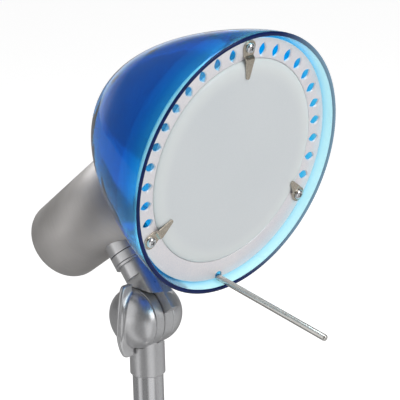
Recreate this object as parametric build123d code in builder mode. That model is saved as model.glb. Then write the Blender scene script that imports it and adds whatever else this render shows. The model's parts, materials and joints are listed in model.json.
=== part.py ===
from build123d import *
from math import cos, radians, sin
import os

# Desk lamp with two arms and a clear blue shade over a silver reflector.
# Frame: millimetres, +Z up, origin at the middle of the base, on the table.
# The head looks along +X, and the three arm joints turn about Y.
# Driving dimensions come first, then one section for each sub-part.

# Arms
TUBE_RADIUS = 9.0
TUBE_WALL = 1.2
COLLAR_RADIUS = 10.25
COLLAR_END = 35.5
TUBE_INSERT = 14.0
FIT = 0.05
LOWER_ARM_LENGTH = 180.0
LOWER_ARM_LEAN = 28.0
UPPER_ARM_LENGTH = 170.0
BASE_JOINT_HEIGHT = 62.0

# Arm joints, measured across the joint from its middle towards the knob
LUG_RADIUS = 17.5
LUG_CHAMFER = 0.4
CRADLE_RADIUS = 18.1
KNOB_WAY = 19.3
ARM_KNOB_WAY = 20.3
LOWER_LUG = (1.5, 7.8)
UPPER_LUG = (-5.3, 1.2)
WASHER_SEAT = 0.5
WASHER_RADIUS = 12.0
BOLT_RADIUS = 3.0
BOLT_END = 14.5
BOLT_HEAD_RADIUS = 6.5
BOLT_HEAD_HEIGHT = 4.0
KNOB_FACE = 8.2
KNOB_RADIUS = 17.8
KNOB_CROWN = 12.3
KNOB_NUT_RADIUS = 5.8
KNOB_NUT_END = 14.8
FIN_THICKNESS = 3.2
FIN_TOP = 22.4
FIN_SHOULDER = (21.6, 16.7)
FIN_FOOT = (18.5, 11.2)
CAP_CROWN = 17.0
CAP_WALL = 2.0

# Base
BASE_RADIUS = 90.0
BASE_BOTTOM = 2.5
BASE_TOP = 24.0
BASE_EDGE = 7.0
PAD_RADIUS = 82.0
COVER_WALL = 1.4
PLATE_TOP = 4.0
WEIGHT_RADIUS = 85.0
WEIGHT_TOP = 17.0
HUB_RADIUS = 24.0
BUSH_RADIUS = 9.0
BUSH_BOTTOM = 12.0
BUSH_TOP = 25.0
SPINDLE_RADIUS = 6.0
SPINDLE_END = 5.5
PEDESTAL_FOOT_RADIUS = 19.5
SWITCH_FORWARD = 62.0
SWITCH_WIDTH = 12.6
SWITCH_LENGTH = 18.6
SWITCH_FRAME = 1.6
ROCKER_PIN_DEPTH = 2.0
GLAND_HEIGHT = 11.0
GLAND_RADIUS = 5.0
SCREW_CIRCLE = 70.0

# Head, measured from the head joint
RIM_FORWARD = 77.35
RIM_RISE = 103.8
MOUTH_TILT = 11.5
HOUSING_FORWARD = -20.0
HOUSING_RISE = 65.9
HOUSING_TILT = 36.7
STEM_TILT = 50.7
STEM_OFFSET = 13.9

# Stem and swivel, measured up the stem
STEM_RADIUS = 10.4
BOSS_RADIUS = 12.2
STEM_START = -7.0
STEM_FRONT = 17.3
STRUT_SHELF = 7.5
FORK_FLANGE = (27.9, 29.2)
RING = (29.5, 35.0)
RING_PAD = 9.5
BOSS_START = 35.3
SADDLE_TOP = 45.5
SPRING_WASHER = 0.8
PIN_SPACING = 8.6
NIPPLE = (16.0, 51.5)
NIPPLE_RADIUS = 5.0

# Lamp housing, measured along its axis towards the shade
HOUSING_RADIUS = 25.3
HOUSING_TAPER = 0.0232
HOUSING_REAR = -64.0
HOUSING_EDGE = 7.0
HOUSING_WALL = 1.2
PLATE_FACE = 13.0
NECK_RADIUS = 15.5
NECK_BORE = 12.0
NECK_END = 31.6
NECK_SEAT = 28.1
NUT_RADIUS = 19.8
HOLDER_RADIUS = 10.8
HOLDER_END = 37.0
CAPSULE_RADIUS = 6.75
CAPSULE = (42.0, 75.0)

# Shade, reflector and glass, measured along the mouth's normal from the rim
SHADE_RADIUS = 75.0
SHADE_DEPTH = 96.2
SHADE_WALL = 2.5
SHADE_POWERS = (1.21, 2.05)
APEX_FLAT = 1.5
SHEET = 0.9
FLANGE_FRONT = -4.0
FLANGE_RADIUS = 70.0
LEDGE = -6.5
GLASS_RADIUS = 58.2
GLASS_FRONT = -2.3
BOWL_RADIUS = 57.0
BOWL_DEPTH = 84.5
BOWL_POWERS = (1.35, 2.4)
NECK_OPENING = 22.2
VENT_CIRCLE = 63.6
VENT_HALF_LENGTH = 3.5
VENT_HALF_WIDTH = 1.8
CLIP_CIRCLE = 65.6
CLIP_HEIGHT = 0.8
CLIP_LIFT = 1.75
ROD_RADIUS = 1.8
ROD_DROP = 69.7
ROD_END = 77.0
ROD_SEAT = -4.2


def side_plane(centre, lean=0.0):
    """Plane across a joint: x forward, y up the arm, z towards the knob."""
    return Plane(centre, x_dir=(cos(radians(lean)), 0, sin(radians(lean))), z_dir=(0, -1, 0))


def across(joint, distance):
    """Plane square to the arm, at a distance up the arm from the joint."""
    return Plane(joint.from_local_coords((0, distance, 0)), x_dir=joint.x_dir, z_dir=joint.y_dir)


def section(joint):
    """Plane through a joint's axis: x is the radius, y runs towards the knob."""
    return Plane(joint.origin, x_dir=joint.x_dir, z_dir=-joint.y_dir)


pedestal_joint = side_plane(Vector(0, 0, BASE_JOINT_HEIGHT))
base_joint = side_plane(pedestal_joint.origin, LOWER_ARM_LEAN)
elbow_centre = Vector(*base_joint.from_local_coords((0, LOWER_ARM_LENGTH, 0)))
elbow_lower = side_plane(elbow_centre, LOWER_ARM_LEAN)
elbow_upper = side_plane(elbow_centre)
head_centre = elbow_centre + Vector(0, 0, UPPER_ARM_LENGTH)
head_joint = side_plane(head_centre)

mouth_normal = Vector(cos(radians(MOUTH_TILT)), 0, -sin(radians(MOUTH_TILT)))
rim_centre = head_centre + Vector(RIM_FORWARD, 0, RIM_RISE)
mouth_side = side_plane(rim_centre, -MOUTH_TILT)
mouth_axis = Axis(rim_centre, mouth_normal)
housing_side = side_plane(head_centre + Vector(HOUSING_FORWARD, 0, HOUSING_RISE), HOUSING_TILT)
housing_axis = Axis(housing_side.origin, housing_side.x_dir)
screw_side = Plane(housing_side.from_local_coords((8, 0, 0)), x_dir=housing_side.x_dir, z_dir=(0, 1, 0))
stem_side = side_plane(head_centre, 90 - STEM_TILT)


def mouth_plane(distance):
    """Plane of the mouth: x points sideways, y up towards the top clip."""
    return Plane(rim_centre + mouth_normal * distance, x_dir=(0, 1, 0), z_dir=mouth_normal)


def housing_plane(distance):
    """Plane square to the lamp housing: x points sideways, y up."""
    centre = housing_side.from_local_coords((distance, 0, 0))
    return Plane(centre, x_dir=(0, 1, 0), z_dir=housing_side.x_dir)


def stem_plane(distance):
    """Plane square to the stem, at a distance up from the joint."""
    centre = stem_side.from_local_coords((STEM_OFFSET, distance, 0))
    return Plane(centre, x_dir=(0, 1, 0), z_dir=stem_side.y_dir)


def save(builder, label):
    """Label a finished piece and write it."""
    builder.part.label = label
    export_step(builder.part, "parts/" + label + ".step")


os.makedirs("parts", exist_ok=True)


# Base cover
# Drawn shell over the weight, with a round edge and an open underside.
with BuildPart() as base_cover:
    shoulder = BASE_RADIUS - BASE_EDGE
    side_top = BASE_TOP - BASE_EDGE
    ceiling = BASE_TOP - COVER_WALL
    inner_edge = BASE_EDGE - COVER_WALL
    with BuildSketch(Plane.XZ):
        with BuildLine():
            Line((BASE_RADIUS, BASE_BOTTOM), (BASE_RADIUS, side_top))
            CenterArc((shoulder, side_top), BASE_EDGE, 0, 90)
            Polyline(
                (shoulder, BASE_TOP),
                (BUSH_RADIUS + FIT, BASE_TOP),
                (BUSH_RADIUS + FIT, ceiling),
                (shoulder, ceiling),
            )
            CenterArc((shoulder, side_top), inner_edge, 0, 90)
            inner_radius = BASE_RADIUS - COVER_WALL
            Polyline((inner_radius, side_top), (inner_radius, BASE_BOTTOM), (BASE_RADIUS, BASE_BOTTOM))
        make_face()
    revolve(axis=Axis.Z)
    with BuildSketch(Plane.XY.offset(BASE_TOP)):
        with Locations((SWITCH_FORWARD, 0)):
            Rectangle(SWITCH_WIDTH + 0.4, SWITCH_LENGTH + 0.4)
    extrude(amount=-2 * COVER_WALL, mode=Mode.SUBTRACT)
    with BuildSketch(Plane.YZ.offset(-BASE_RADIUS - 1)):
        with Locations((0, GLAND_HEIGHT)):
            Circle(GLAND_RADIUS)
    extrude(amount=5, mode=Mode.SUBTRACT)
save(base_cover, "base_cover")

# Base weight
# Iron casting that stands on the bottom plate and carries the cover on its hub.
with BuildPart() as base_weight:
    with BuildSketch(Plane.XY.offset(PLATE_TOP)):
        Circle(WEIGHT_RADIUS)
    extrude(amount=WEIGHT_TOP - PLATE_TOP)
    chamfer(base_weight.edges().sort_by(Axis.Z)[-1], 3)
    with BuildSketch(Plane.XY.offset(WEIGHT_TOP)):
        Circle(HUB_RADIUS)
    extrude(amount=BASE_TOP - COVER_WALL - WEIGHT_TOP)
    with BuildSketch(Plane.XY.offset(PLATE_TOP)):
        Circle(15.5)
    extrude(amount=BUSH_BOTTOM - PLATE_TOP, mode=Mode.SUBTRACT)
    with BuildSketch(Plane.XY.offset(BUSH_BOTTOM)):
        Circle(BUSH_RADIUS + FIT)
    extrude(amount=BASE_TOP - BUSH_BOTTOM, mode=Mode.SUBTRACT)
    with BuildSketch(Plane.XY.offset(PLATE_TOP)):
        with Locations((SWITCH_FORWARD, 0)):
            Rectangle(20, 26)
        with Locations((-60, 0)):
            Rectangle(56, 26)
    extrude(amount=WEIGHT_TOP, mode=Mode.SUBTRACT)
    with BuildSketch(Plane.XY.offset(PLATE_TOP)):
        with PolarLocations(SCREW_CIRCLE, 4, start_angle=45):
            Circle(2 + FIT)
    extrude(amount=9, mode=Mode.SUBTRACT)
save(base_weight, "base_weight")

# Bottom plate
# Steel disc that closes the underside, countersunk for its four screws.
with BuildPart() as base_plate:
    with BuildSketch(Plane.XY.offset(BASE_BOTTOM)):
        Circle(BASE_RADIUS - COVER_WALL - 0.3)
    extrude(amount=PLATE_TOP - BASE_BOTTOM)
    with PolarLocations(SCREW_CIRCLE, 4, start_angle=45):
        with Locations((0, 0, (BASE_BOTTOM + PLATE_TOP) / 2)):
            Cone(3.75, 2.05, PLATE_TOP - BASE_BOTTOM, mode=Mode.SUBTRACT)
save(base_plate, "base_plate")

# Bottom plate screws
# Four countersunk screws that hold the plate to the weight.
with BuildPart() as base_screws:
    with PolarLocations(SCREW_CIRCLE, 4, start_angle=45):
        with Locations((0, 0, (BASE_BOTTOM + PLATE_TOP) / 2)):
            Cone(3.7, 2, PLATE_TOP - BASE_BOTTOM)
        with Locations((0, 0, PLATE_TOP + 4)):
            Cylinder(2, 8)
    with BuildSketch(Plane.XY.offset(BASE_BOTTOM)):
        with PolarLocations(SCREW_CIRCLE, 4, start_angle=45):
            Rectangle(4, 0.8)
            Rectangle(0.8, 4)
    extrude(amount=1, mode=Mode.SUBTRACT)
save(base_screws, "base_screws")

# Base pad
# Round rubber pad stuck under the bottom plate, over its screws.
with BuildPart() as base_pad:
    with BuildSketch(Plane.XY):
        Circle(PAD_RADIUS)
    extrude(amount=BASE_BOTTOM)
    chamfer(base_pad.edges().group_by(Axis.Z)[0], 0.6)
save(base_pad, "base_pad")

# Pivot bush
# Flanged nylon bearing for the pedestal, pressed through the cover into the hub.
with BuildPart() as pivot_bush:
    with BuildSketch(Plane.XY.offset(BUSH_BOTTOM)):
        Circle(BUSH_RADIUS)
    extrude(amount=BASE_TOP - BUSH_BOTTOM)
    with BuildSketch(Plane.XY.offset(BASE_TOP)):
        Circle(PEDESTAL_FOOT_RADIUS - 0.8)
    extrude(amount=BUSH_TOP - BASE_TOP)
    with BuildSketch(Plane.XY.offset(BUSH_BOTTOM)):
        Circle(SPINDLE_RADIUS + FIT)
    extrude(amount=BUSH_TOP - BUSH_BOTTOM, mode=Mode.SUBTRACT)
save(pivot_bush, "pivot_bush")

# Switch body
# Black snap-in frame in the cover, with a well for the rocker.
with BuildPart() as switch_body:
    with BuildSketch(Plane.XY.offset(9)):
        with Locations((SWITCH_FORWARD, 0)):
            Rectangle(SWITCH_WIDTH, SWITCH_LENGTH)
    extrude(amount=BASE_TOP - 9)
    with BuildSketch(Plane.XY.offset(BASE_TOP)):
        with Locations((SWITCH_FORWARD, 0)):
            RectangleRounded(SWITCH_WIDTH + 2.9, SWITCH_LENGTH + 2.9, 1.5)
    extrude(amount=SWITCH_FRAME)
    chamfer(switch_body.edges().group_by(Axis.Z)[-1], 0.5)
    with BuildSketch(Plane.XY.offset(BASE_TOP + SWITCH_FRAME)):
        with Locations((SWITCH_FORWARD, 0)):
            Rectangle(SWITCH_WIDTH - 3.2, SWITCH_LENGTH - 2)
    extrude(amount=-11, mode=Mode.SUBTRACT)
    with BuildSketch(Plane.YZ.offset(SWITCH_FORWARD)):
        with Locations((0, BASE_TOP - ROCKER_PIN_DEPTH)):
            Circle(1.3)
    extrude(amount=6, both=True, mode=Mode.SUBTRACT)
save(switch_body, "switch_body")

# Switch rocker
# Rocks about a pin that runs across the well, with its outer end down at rest.
with BuildPart() as switch_rocker:
    with BuildSketch(Plane.YZ.offset(SWITCH_FORWARD)):
        with BuildLine():
            Polyline((-6.9, 25.0), (-6.9, 21.5), (-3, 18.5), (3, 18.5), (6.9, 21.5), (6.9, 28.0))
            ThreePointArc((6.9, 28.0), (0.3, 25.6), (-6.9, 25.0))
        make_face()
    extrude(amount=4.4, both=True)
    side_edges = switch_rocker.edges().group_by(Axis.X)
    chamfer(side_edges[0] + side_edges[-1], 0.4)
    with BuildSketch(Plane.YZ.offset(SWITCH_FORWARD)):
        with Locations((0, BASE_TOP - ROCKER_PIN_DEPTH)):
            Circle(1.25)
    extrude(amount=5.8, both=True)
save(switch_rocker, "switch_rocker")

# Cable bush
# Rubber bush in the back of the cover, where the supply cable goes in.
with BuildPart() as cable_bush:
    with BuildSketch(Plane.YZ.offset(-BASE_RADIUS - 2)):
        with Locations((0, GLAND_HEIGHT)):
            Circle(GLAND_RADIUS + 2)
    extrude(amount=2)
    chamfer(cable_bush.edges().group_by(Axis.X)[0], 0.7)
    with BuildSketch(Plane.YZ.offset(-BASE_RADIUS)):
        with Locations((0, GLAND_HEIGHT)):
            Circle(GLAND_RADIUS - FIT)
    extrude(amount=4.5)
    with BuildSketch(Plane.YZ.offset(-BASE_RADIUS - 2)):
        with Locations((0, GLAND_HEIGHT)):
            Circle(3.2)
    extrude(amount=7, mode=Mode.SUBTRACT)
save(cable_bush, "cable_bush")

# Terminal block
# Two-way connector on the bottom plate, where the supply meets the lamp's own wires.
with BuildPart() as terminal_block:
    with Locations((-58, 0, PLATE_TOP)):
        Box(14, 18, 9, align=(Align.CENTER, Align.CENTER, Align.MIN))
    chamfer(terminal_block.edges().filter_by(Axis.X), 1)
    with Locations((-58, -4.5, PLATE_TOP + 4), (-58, 4.5, PLATE_TOP + 4)):
        Cylinder(1.6, 14, rotation=(0, 90, 0), mode=Mode.SUBTRACT)
    with Locations(*[(-58 + x, y, PLATE_TOP + 9) for x in (-4, 4) for y in (-4.5, 4.5)]):
        Cylinder(1.5, 7, mode=Mode.SUBTRACT)
save(terminal_block, "terminal_block")


def knuckle(joint, direction, lug):
    """Round lug of an arm joint with the stub of its collar."""
    low, high = lug
    with BuildPart() as half:
        with BuildSketch(across(joint, direction * 8)):
            Circle(COLLAR_RADIUS)
        extrude(amount=direction * 14)
        with BuildSketch(joint.offset(high)):
            Circle(CRADLE_RADIUS)
        extrude(amount=20, mode=Mode.SUBTRACT)
        with BuildSketch(joint.offset(low)):
            Circle(CRADLE_RADIUS)
        extrude(amount=-20, mode=Mode.SUBTRACT)
        if lug == UPPER_LUG:
            add(knob_way(joint, high, ARM_KNOB_WAY), mode=Mode.SUBTRACT)
        add(lug_disc(joint, lug))
    return half.part


def knob_way(joint, start, reach, lean=0):
    """Room for the knob beside a lug, with a flat end across the arm or the leaning stem."""
    end = (-reach * sin(radians(lean)), reach * cos(radians(lean)))
    with BuildPart() as way:
        with BuildSketch(joint.offset(start)):
            with Locations(end):
                Rectangle(70, 70, rotation=lean, align=(Align.CENTER, Align.MAX))
        extrude(amount=20)
    return way.part


def lug_disc(joint, lug):
    """Flat disc with small chamfers, turned about the joint's axis."""
    low, high = lug
    with BuildPart() as disc:
        with BuildSketch(section(joint)):
            with BuildLine():
                Polyline(
                    (0, low),
                    (LUG_RADIUS - LUG_CHAMFER, low),
                    (LUG_RADIUS, low + LUG_CHAMFER),
                    (LUG_RADIUS, high - LUG_CHAMFER),
                    (LUG_RADIUS - LUG_CHAMFER, high),
                    (0, high),
                    close=True,
                )
            make_face()
        revolve(axis=Axis(joint.origin, joint.z_dir))
    return disc.part


def bolt_way(joint, lug):
    """What the bolt takes out of a lug: a round hole, or a square one and a washer seat."""
    low, high = lug
    with BuildPart() as way:
        with BuildSketch(joint.offset(low)):
            if lug == LOWER_LUG:
                Circle(BOLT_RADIUS + FIT)
            else:
                Rectangle(2 * BOLT_RADIUS + 0.1, 2 * BOLT_RADIUS + 0.1)
        extrude(amount=high - low)
        if lug == UPPER_LUG:
            with BuildSketch(joint.offset(WASHER_SEAT)):
                Circle(WASHER_RADIUS + 0.1)
            extrude(amount=high - WASHER_SEAT)
    return way.part


def arm_fitting(joint, direction, lug):
    """Cast end of an arm: half a joint, and a collar with a socket for the tube."""
    with BuildPart() as fitting:
        with BuildSketch(across(joint, direction * COLLAR_END)):
            Circle(COLLAR_RADIUS)
        extrude(amount=-direction * (COLLAR_END - 21))
        rim = fitting.edges().filter_by(GeomType.CIRCLE)
        chamfer(rim.sort_by_distance(joint.origin)[-1], 0.5)
        add(knuckle(joint, direction, lug))
        add(bolt_way(joint, lug), mode=Mode.SUBTRACT)
        with BuildSketch(across(joint, direction * COLLAR_END)):
            Circle(TUBE_RADIUS + FIT)
        extrude(amount=-direction * TUBE_INSERT, mode=Mode.SUBTRACT)
    return fitting


def arm_tube(joint, length):
    """Round tube between the sockets of two arm fittings."""
    start = COLLAR_END - TUBE_INSERT
    with BuildPart() as tube:
        with BuildSketch(across(joint, start)):
            Circle(TUBE_RADIUS)
            Circle(TUBE_RADIUS - TUBE_WALL, mode=Mode.SUBTRACT)
        extrude(amount=length - 2 * start)
    return tube


def save_joint_hardware(joint, name, fin_turn):
    """Bolt, friction washer, end cap and clamping knob of one arm joint."""
    turning = Axis(joint.origin, joint.z_dir)
    # Carriage bolt with a square neck in the upper lug and its thread in the knob
    with BuildPart() as bolt:
        with BuildSketch(joint.offset(UPPER_LUG[0] - BOLT_HEAD_HEIGHT)):
            Circle(BOLT_HEAD_RADIUS)
        extrude(amount=BOLT_HEAD_HEIGHT)
        with BuildSketch(joint.offset(UPPER_LUG[0])):
            Rectangle(2 * BOLT_RADIUS, 2 * BOLT_RADIUS)
        extrude(amount=WASHER_SEAT - UPPER_LUG[0])
        with BuildSketch(joint.offset(WASHER_SEAT)):
            Circle(BOLT_RADIUS)
        extrude(amount=BOLT_END - WASHER_SEAT)
    save(bolt, name + "_bolt")
    # Fibre washer that sits in the upper lug and rubs on the lower one
    with BuildPart() as washer:
        with BuildSketch(joint.offset(WASHER_SEAT)):
            Circle(WASHER_RADIUS)
            Circle(BOLT_RADIUS * 1.5, mode=Mode.SUBTRACT)
        extrude(amount=LOWER_LUG[0] - WASHER_SEAT)
    save(washer, name + "_washer")
    # Domed cap over the bolt's head, snapped to the back of the upper lug
    with BuildPart() as cap:
        back = UPPER_LUG[0]
        crown = back - CAP_CROWN
        with BuildSketch(section(joint)):
            with BuildLine():
                EllipticalCenterArc((0, back), LUG_RADIUS, CAP_CROWN, start_angle=270, arc_size=90)
                Line((LUG_RADIUS, back), (0, back))
                Line((0, back), (0, crown))
            make_face()
        revolve(axis=turning)
        with BuildSketch(section(joint)):
            with BuildLine():
                inner_radius = LUG_RADIUS - CAP_WALL
                inner_crown = CAP_CROWN - CAP_WALL
                EllipticalCenterArc((0, back), inner_radius, inner_crown, start_angle=270, arc_size=90)
                Line((inner_radius, back), (0, back))
                Line((0, back), (0, back - inner_crown))
            make_face()
        revolve(axis=turning, mode=Mode.SUBTRACT)
    save(cap, name + "_cap")
    # Moulded-in brass nut of the knob, which bears on the lower lug
    with BuildPart() as nut:
        with BuildSketch(joint.offset(LOWER_LUG[1])):
            RegularPolygon(KNOB_NUT_RADIUS, 6)
            Circle(BOLT_RADIUS + FIT, mode=Mode.SUBTRACT)
        extrude(amount=KNOB_NUT_END - LOWER_LUG[1])
    save(nut, name + "_knob_nut")
    # Domed knob with a thumb fin across it
    with BuildPart() as fin:
        with BuildSketch(Plane(joint.origin, x_dir=joint.y_dir, z_dir=joint.x_dir)):
            with BuildLine():
                Polyline(
                    (-FIN_SHOULDER[0], FIN_SHOULDER[1]),
                    (-FIN_FOOT[0], FIN_FOOT[1]),
                    FIN_FOOT,
                    FIN_SHOULDER,
                )
                ThreePointArc(
                    FIN_SHOULDER,
                    (0, FIN_TOP),
                    (-FIN_SHOULDER[0], FIN_SHOULDER[1]),
                )
            make_face()
        extrude(amount=FIN_THICKNESS / 2, both=True)
        long_edges = fin.edges().filter_by(GeomType.CIRCLE)
        chamfer(long_edges, 0.45)
    with BuildPart() as knob:
        with BuildSketch(section(joint)):
            with BuildLine():
                EllipticalCenterArc((0, KNOB_FACE), KNOB_RADIUS, KNOB_CROWN, start_angle=0, arc_size=90)
                Line((0, KNOB_FACE + KNOB_CROWN), (0, KNOB_FACE))
                Line((0, KNOB_FACE), (KNOB_RADIUS, KNOB_FACE))
            make_face()
        revolve(axis=turning)
        add(fin.part.rotate(turning, fin_turn))
        with BuildSketch(joint.offset(KNOB_FACE)):
            RegularPolygon(KNOB_NUT_RADIUS, 6)
        extrude(amount=KNOB_NUT_END - KNOB_FACE, mode=Mode.SUBTRACT)
    save(knob, name + "_knob")


# Pedestal
# Turned and milled post that swivels on the base and carries the lower arm's joint.
with BuildPart() as pedestal:
    with BuildSketch(Plane.XZ):
        with BuildLine():
            Polyline(
                (0, BUSH_TOP),
                (PEDESTAL_FOOT_RADIUS, BUSH_TOP),
                (PEDESTAL_FOOT_RADIUS, BUSH_TOP + 2.5),
            )
            ThreePointArc(
                (PEDESTAL_FOOT_RADIUS, BUSH_TOP + 2.5),
                (COLLAR_RADIUS + 2.7, BUSH_TOP + 6.2),
                (COLLAR_RADIUS, BUSH_TOP + 14),
            )
            Polyline((COLLAR_RADIUS, BUSH_TOP + 14), (COLLAR_RADIUS, 48), (0, 48), (0, BUSH_TOP))
        make_face()
    revolve(axis=Axis.Z)
    for start, way in ((LOWER_LUG[0], -20), (LOWER_LUG[1], 20)):
        with BuildSketch(pedestal_joint.offset(start)):
            Circle(CRADLE_RADIUS)
        extrude(amount=way, mode=Mode.SUBTRACT)
    add(lug_disc(pedestal_joint, LOWER_LUG))
    add(bolt_way(pedestal_joint, LOWER_LUG), mode=Mode.SUBTRACT)
    with BuildSketch(Plane.XY.offset(BUSH_TOP)):
        Circle(SPINDLE_RADIUS)
    extrude(amount=14, mode=Mode.SUBTRACT)
save(pedestal, "pedestal")

# Pedestal spindle
# Hollow threaded tube, screwed into the pedestal and run down through the bush.
with BuildPart() as pedestal_spindle:
    with BuildSketch(Plane.XY.offset(SPINDLE_END)):
        Circle(SPINDLE_RADIUS - 0.02)
        Circle(4.3, mode=Mode.SUBTRACT)
    extrude(amount=BUSH_TOP + 12 - SPINDLE_END)
save(pedestal_spindle, "pedestal_spindle")

# Pedestal washer
# Spring washer that keeps the swivel firm, up against the bush.
with BuildPart() as pedestal_washer:
    with BuildSketch(Plane.XY.offset(BUSH_BOTTOM - 1.2)):
        Circle(13)
        Circle(SPINDLE_RADIUS + FIT, mode=Mode.SUBTRACT)
    extrude(amount=1.2)
save(pedestal_washer, "pedestal_washer")

# Pedestal nut
# Locking nut under the spring washer.
with BuildPart() as pedestal_nut:
    with BuildSketch(Plane.XY.offset(BUSH_BOTTOM - 5.7)):
        RegularPolygon(10.4, 6)
        Circle(SPINDLE_RADIUS + FIT, mode=Mode.SUBTRACT)
    extrude(amount=4.5)
save(pedestal_nut, "pedestal_nut")

# Lower arm
# Tube with a cast fitting on each end, which leans back at rest.
save(arm_fitting(base_joint, 1, UPPER_LUG), "lower_arm_foot")
save(arm_tube(base_joint, LOWER_ARM_LENGTH), "lower_arm_tube")
save(arm_fitting(elbow_lower, -1, LOWER_LUG), "lower_arm_head")
save_joint_hardware(base_joint, "base", 62)

# Upper arm
# The same tube and fittings, upright at rest.
save(arm_fitting(elbow_upper, 1, UPPER_LUG), "upper_arm_foot")
save(arm_tube(elbow_upper, UPPER_ARM_LENGTH), "upper_arm_tube")
save(arm_fitting(head_joint, -1, LOWER_LUG), "upper_arm_head")
save_joint_hardware(elbow_upper, "elbow", -24)


def stem_point(sideways, distance):
    """Point beside the stem's axis, in the head joint's own plane."""
    reach = STEM_OFFSET + sideways
    tilt = radians(STEM_TILT)
    return (reach * sin(tilt) - distance * cos(tilt), reach * cos(tilt) + distance * sin(tilt))


# Head fork
# Casting that hinges on the upper arm and rises as a leaning stem with a flange.
with BuildPart() as head_fork:
    with BuildSketch(stem_plane(STEM_START)):
        Circle(STEM_RADIUS)
    extrude(amount=FORK_FLANGE[0] - STEM_START)
    with BuildSketch(stem_plane(FORK_FLANGE[0])):
        Circle(BOSS_RADIUS)
    extrude(amount=FORK_FLANGE[1] - FORK_FLANGE[0])
    for start, way in ((UPPER_LUG[0], -20), (UPPER_LUG[1], 20)):
        with BuildSketch(head_joint.offset(start)):
            Circle(CRADLE_RADIUS)
            with Locations((0, CRADLE_RADIUS)):
                Rectangle(40, 40, align=(Align.MIN, Align.MAX))
        extrude(amount=way, mode=Mode.SUBTRACT)
    add(knob_way(head_joint, LOWER_LUG[1] - 0.3, KNOB_WAY, 90 - STEM_TILT), mode=Mode.SUBTRACT)
    with BuildSketch(head_joint.offset(UPPER_LUG[0])):
        with BuildLine():
            tilt = radians(STEM_TILT)
            corner = (STEM_OFFSET + STEM_RADIUS - STEM_FRONT * sin(tilt)) / cos(tilt)
            Polyline(
                (0, STRUT_SHELF),
                (STEM_FRONT, STRUT_SHELF),
                (STEM_FRONT, corner),
                stem_point(STEM_RADIUS, 24),
                stem_point(-STEM_RADIUS, 24),
                close=True,
            )
        make_face()
    extrude(amount=UPPER_LUG[1] - UPPER_LUG[0])
    add(lug_disc(head_joint, UPPER_LUG))
    add(bolt_way(head_joint, UPPER_LUG), mode=Mode.SUBTRACT)
    with BuildSketch(stem_plane(NIPPLE[0])):
        Circle(NIPPLE_RADIUS)
    extrude(amount=FORK_FLANGE[1] - NIPPLE[0], mode=Mode.SUBTRACT)
save(head_fork, "head_fork")
save_joint_hardware(head_joint, "head", 0)

# Swivel ring
# Turned friction ring between the fork and the head, with a groove above and below.
with BuildPart() as swivel_ring:
    with BuildSketch(stem_plane(RING[0])):
        Circle(BOSS_RADIUS)
    extrude(amount=RING[1] - RING[0])
    chamfer(swivel_ring.edges(), 0.3)
    with BuildSketch(stem_plane(FORK_FLANGE[1])):
        Circle(RING_PAD)
    extrude(amount=BOSS_START - FORK_FLANGE[1])
    with BuildSketch(stem_plane(FORK_FLANGE[1])):
        Circle(NIPPLE_RADIUS)
    extrude(amount=BOSS_START - FORK_FLANGE[1], mode=Mode.SUBTRACT)
save(swivel_ring, "swivel_ring")

# Swivel nipple
# Hollow threaded tube through the swivel, which also passes the wires.
with BuildPart() as swivel_nipple:
    with BuildSketch(stem_plane(NIPPLE[0])):
        Circle(NIPPLE_RADIUS - FIT)
        Circle(3.6, mode=Mode.SUBTRACT)
    extrude(amount=NIPPLE[1] - NIPPLE[0])
save(swivel_nipple, "swivel_nipple")

# Swivel washer
# Spring washer on the saddle inside the lamp housing.
with BuildPart() as swivel_washer:
    with BuildSketch(stem_plane(SADDLE_TOP + FIT)):
        Circle(9)
        Circle(NIPPLE_RADIUS, mode=Mode.SUBTRACT)
    extrude(amount=SPRING_WASHER)
save(swivel_washer, "swivel_washer")

# Swivel nut
# Locking nut that draws the head down on its swivel.
with BuildPart() as swivel_nut:
    with BuildSketch(stem_plane(SADDLE_TOP + FIT + SPRING_WASHER)):
        RegularPolygon(8, 6)
        Circle(NIPPLE_RADIUS, mode=Mode.SUBTRACT)
    extrude(amount=4)
save(swivel_nut, "swivel_nut")


def can(start, end, inset=0.0):
    """Solid taper that follows the lamp housing, at an inset from its outside."""
    with BuildPart() as taper:
        with BuildSketch(housing_side):
            with BuildLine():
                Polyline(
                    (start, 0),
                    (start, HOUSING_RADIUS + HOUSING_TAPER * start - inset),
                    (end, HOUSING_RADIUS + HOUSING_TAPER * end - inset),
                    (end, 0),
                    close=True,
                )
            make_face()
        revolve(axis=housing_axis)
    return taper.part


def bowl(radius, depth, front=0.0, powers=SHADE_POWERS):
    """Solid bowl behind the mouth, round about the mouth's axis."""
    steps = 16
    curve = []
    for step in range(steps):
        angle = radians(90 * step / steps)
        x = front - depth * sin(angle) ** (2 / powers[0])
        curve.append((x, radius * cos(angle) ** (2 / powers[1])))
    curve.append((front - depth, APEX_FLAT))
    with BuildPart() as solid:
        with BuildSketch(mouth_side):
            with BuildLine():
                Spline(*curve, tangents=[(-1, 0), (0, -1)])
                Polyline((front - depth, APEX_FLAT), (front - depth, 0), (front, 0), (front, radius))
            make_face()
        revolve(axis=mouth_axis)
    return solid.part


# Stem boss
# Saddle-cut block under the lamp housing that turns on the swivel ring.
with BuildPart() as stem_boss:
    with BuildSketch(stem_plane(BOSS_START)):
        Circle(BOSS_RADIUS)
    extrude(amount=12)
    add(can(-50, 20), mode=Mode.SUBTRACT)
    with BuildSketch(stem_plane(BOSS_START)):
        Circle(NIPPLE_RADIUS)
        with Locations((-PIN_SPACING, 0), (PIN_SPACING, 0)):
            Circle(1.25)
    extrude(amount=12, mode=Mode.SUBTRACT)
save(stem_boss, "stem_boss")

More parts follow.
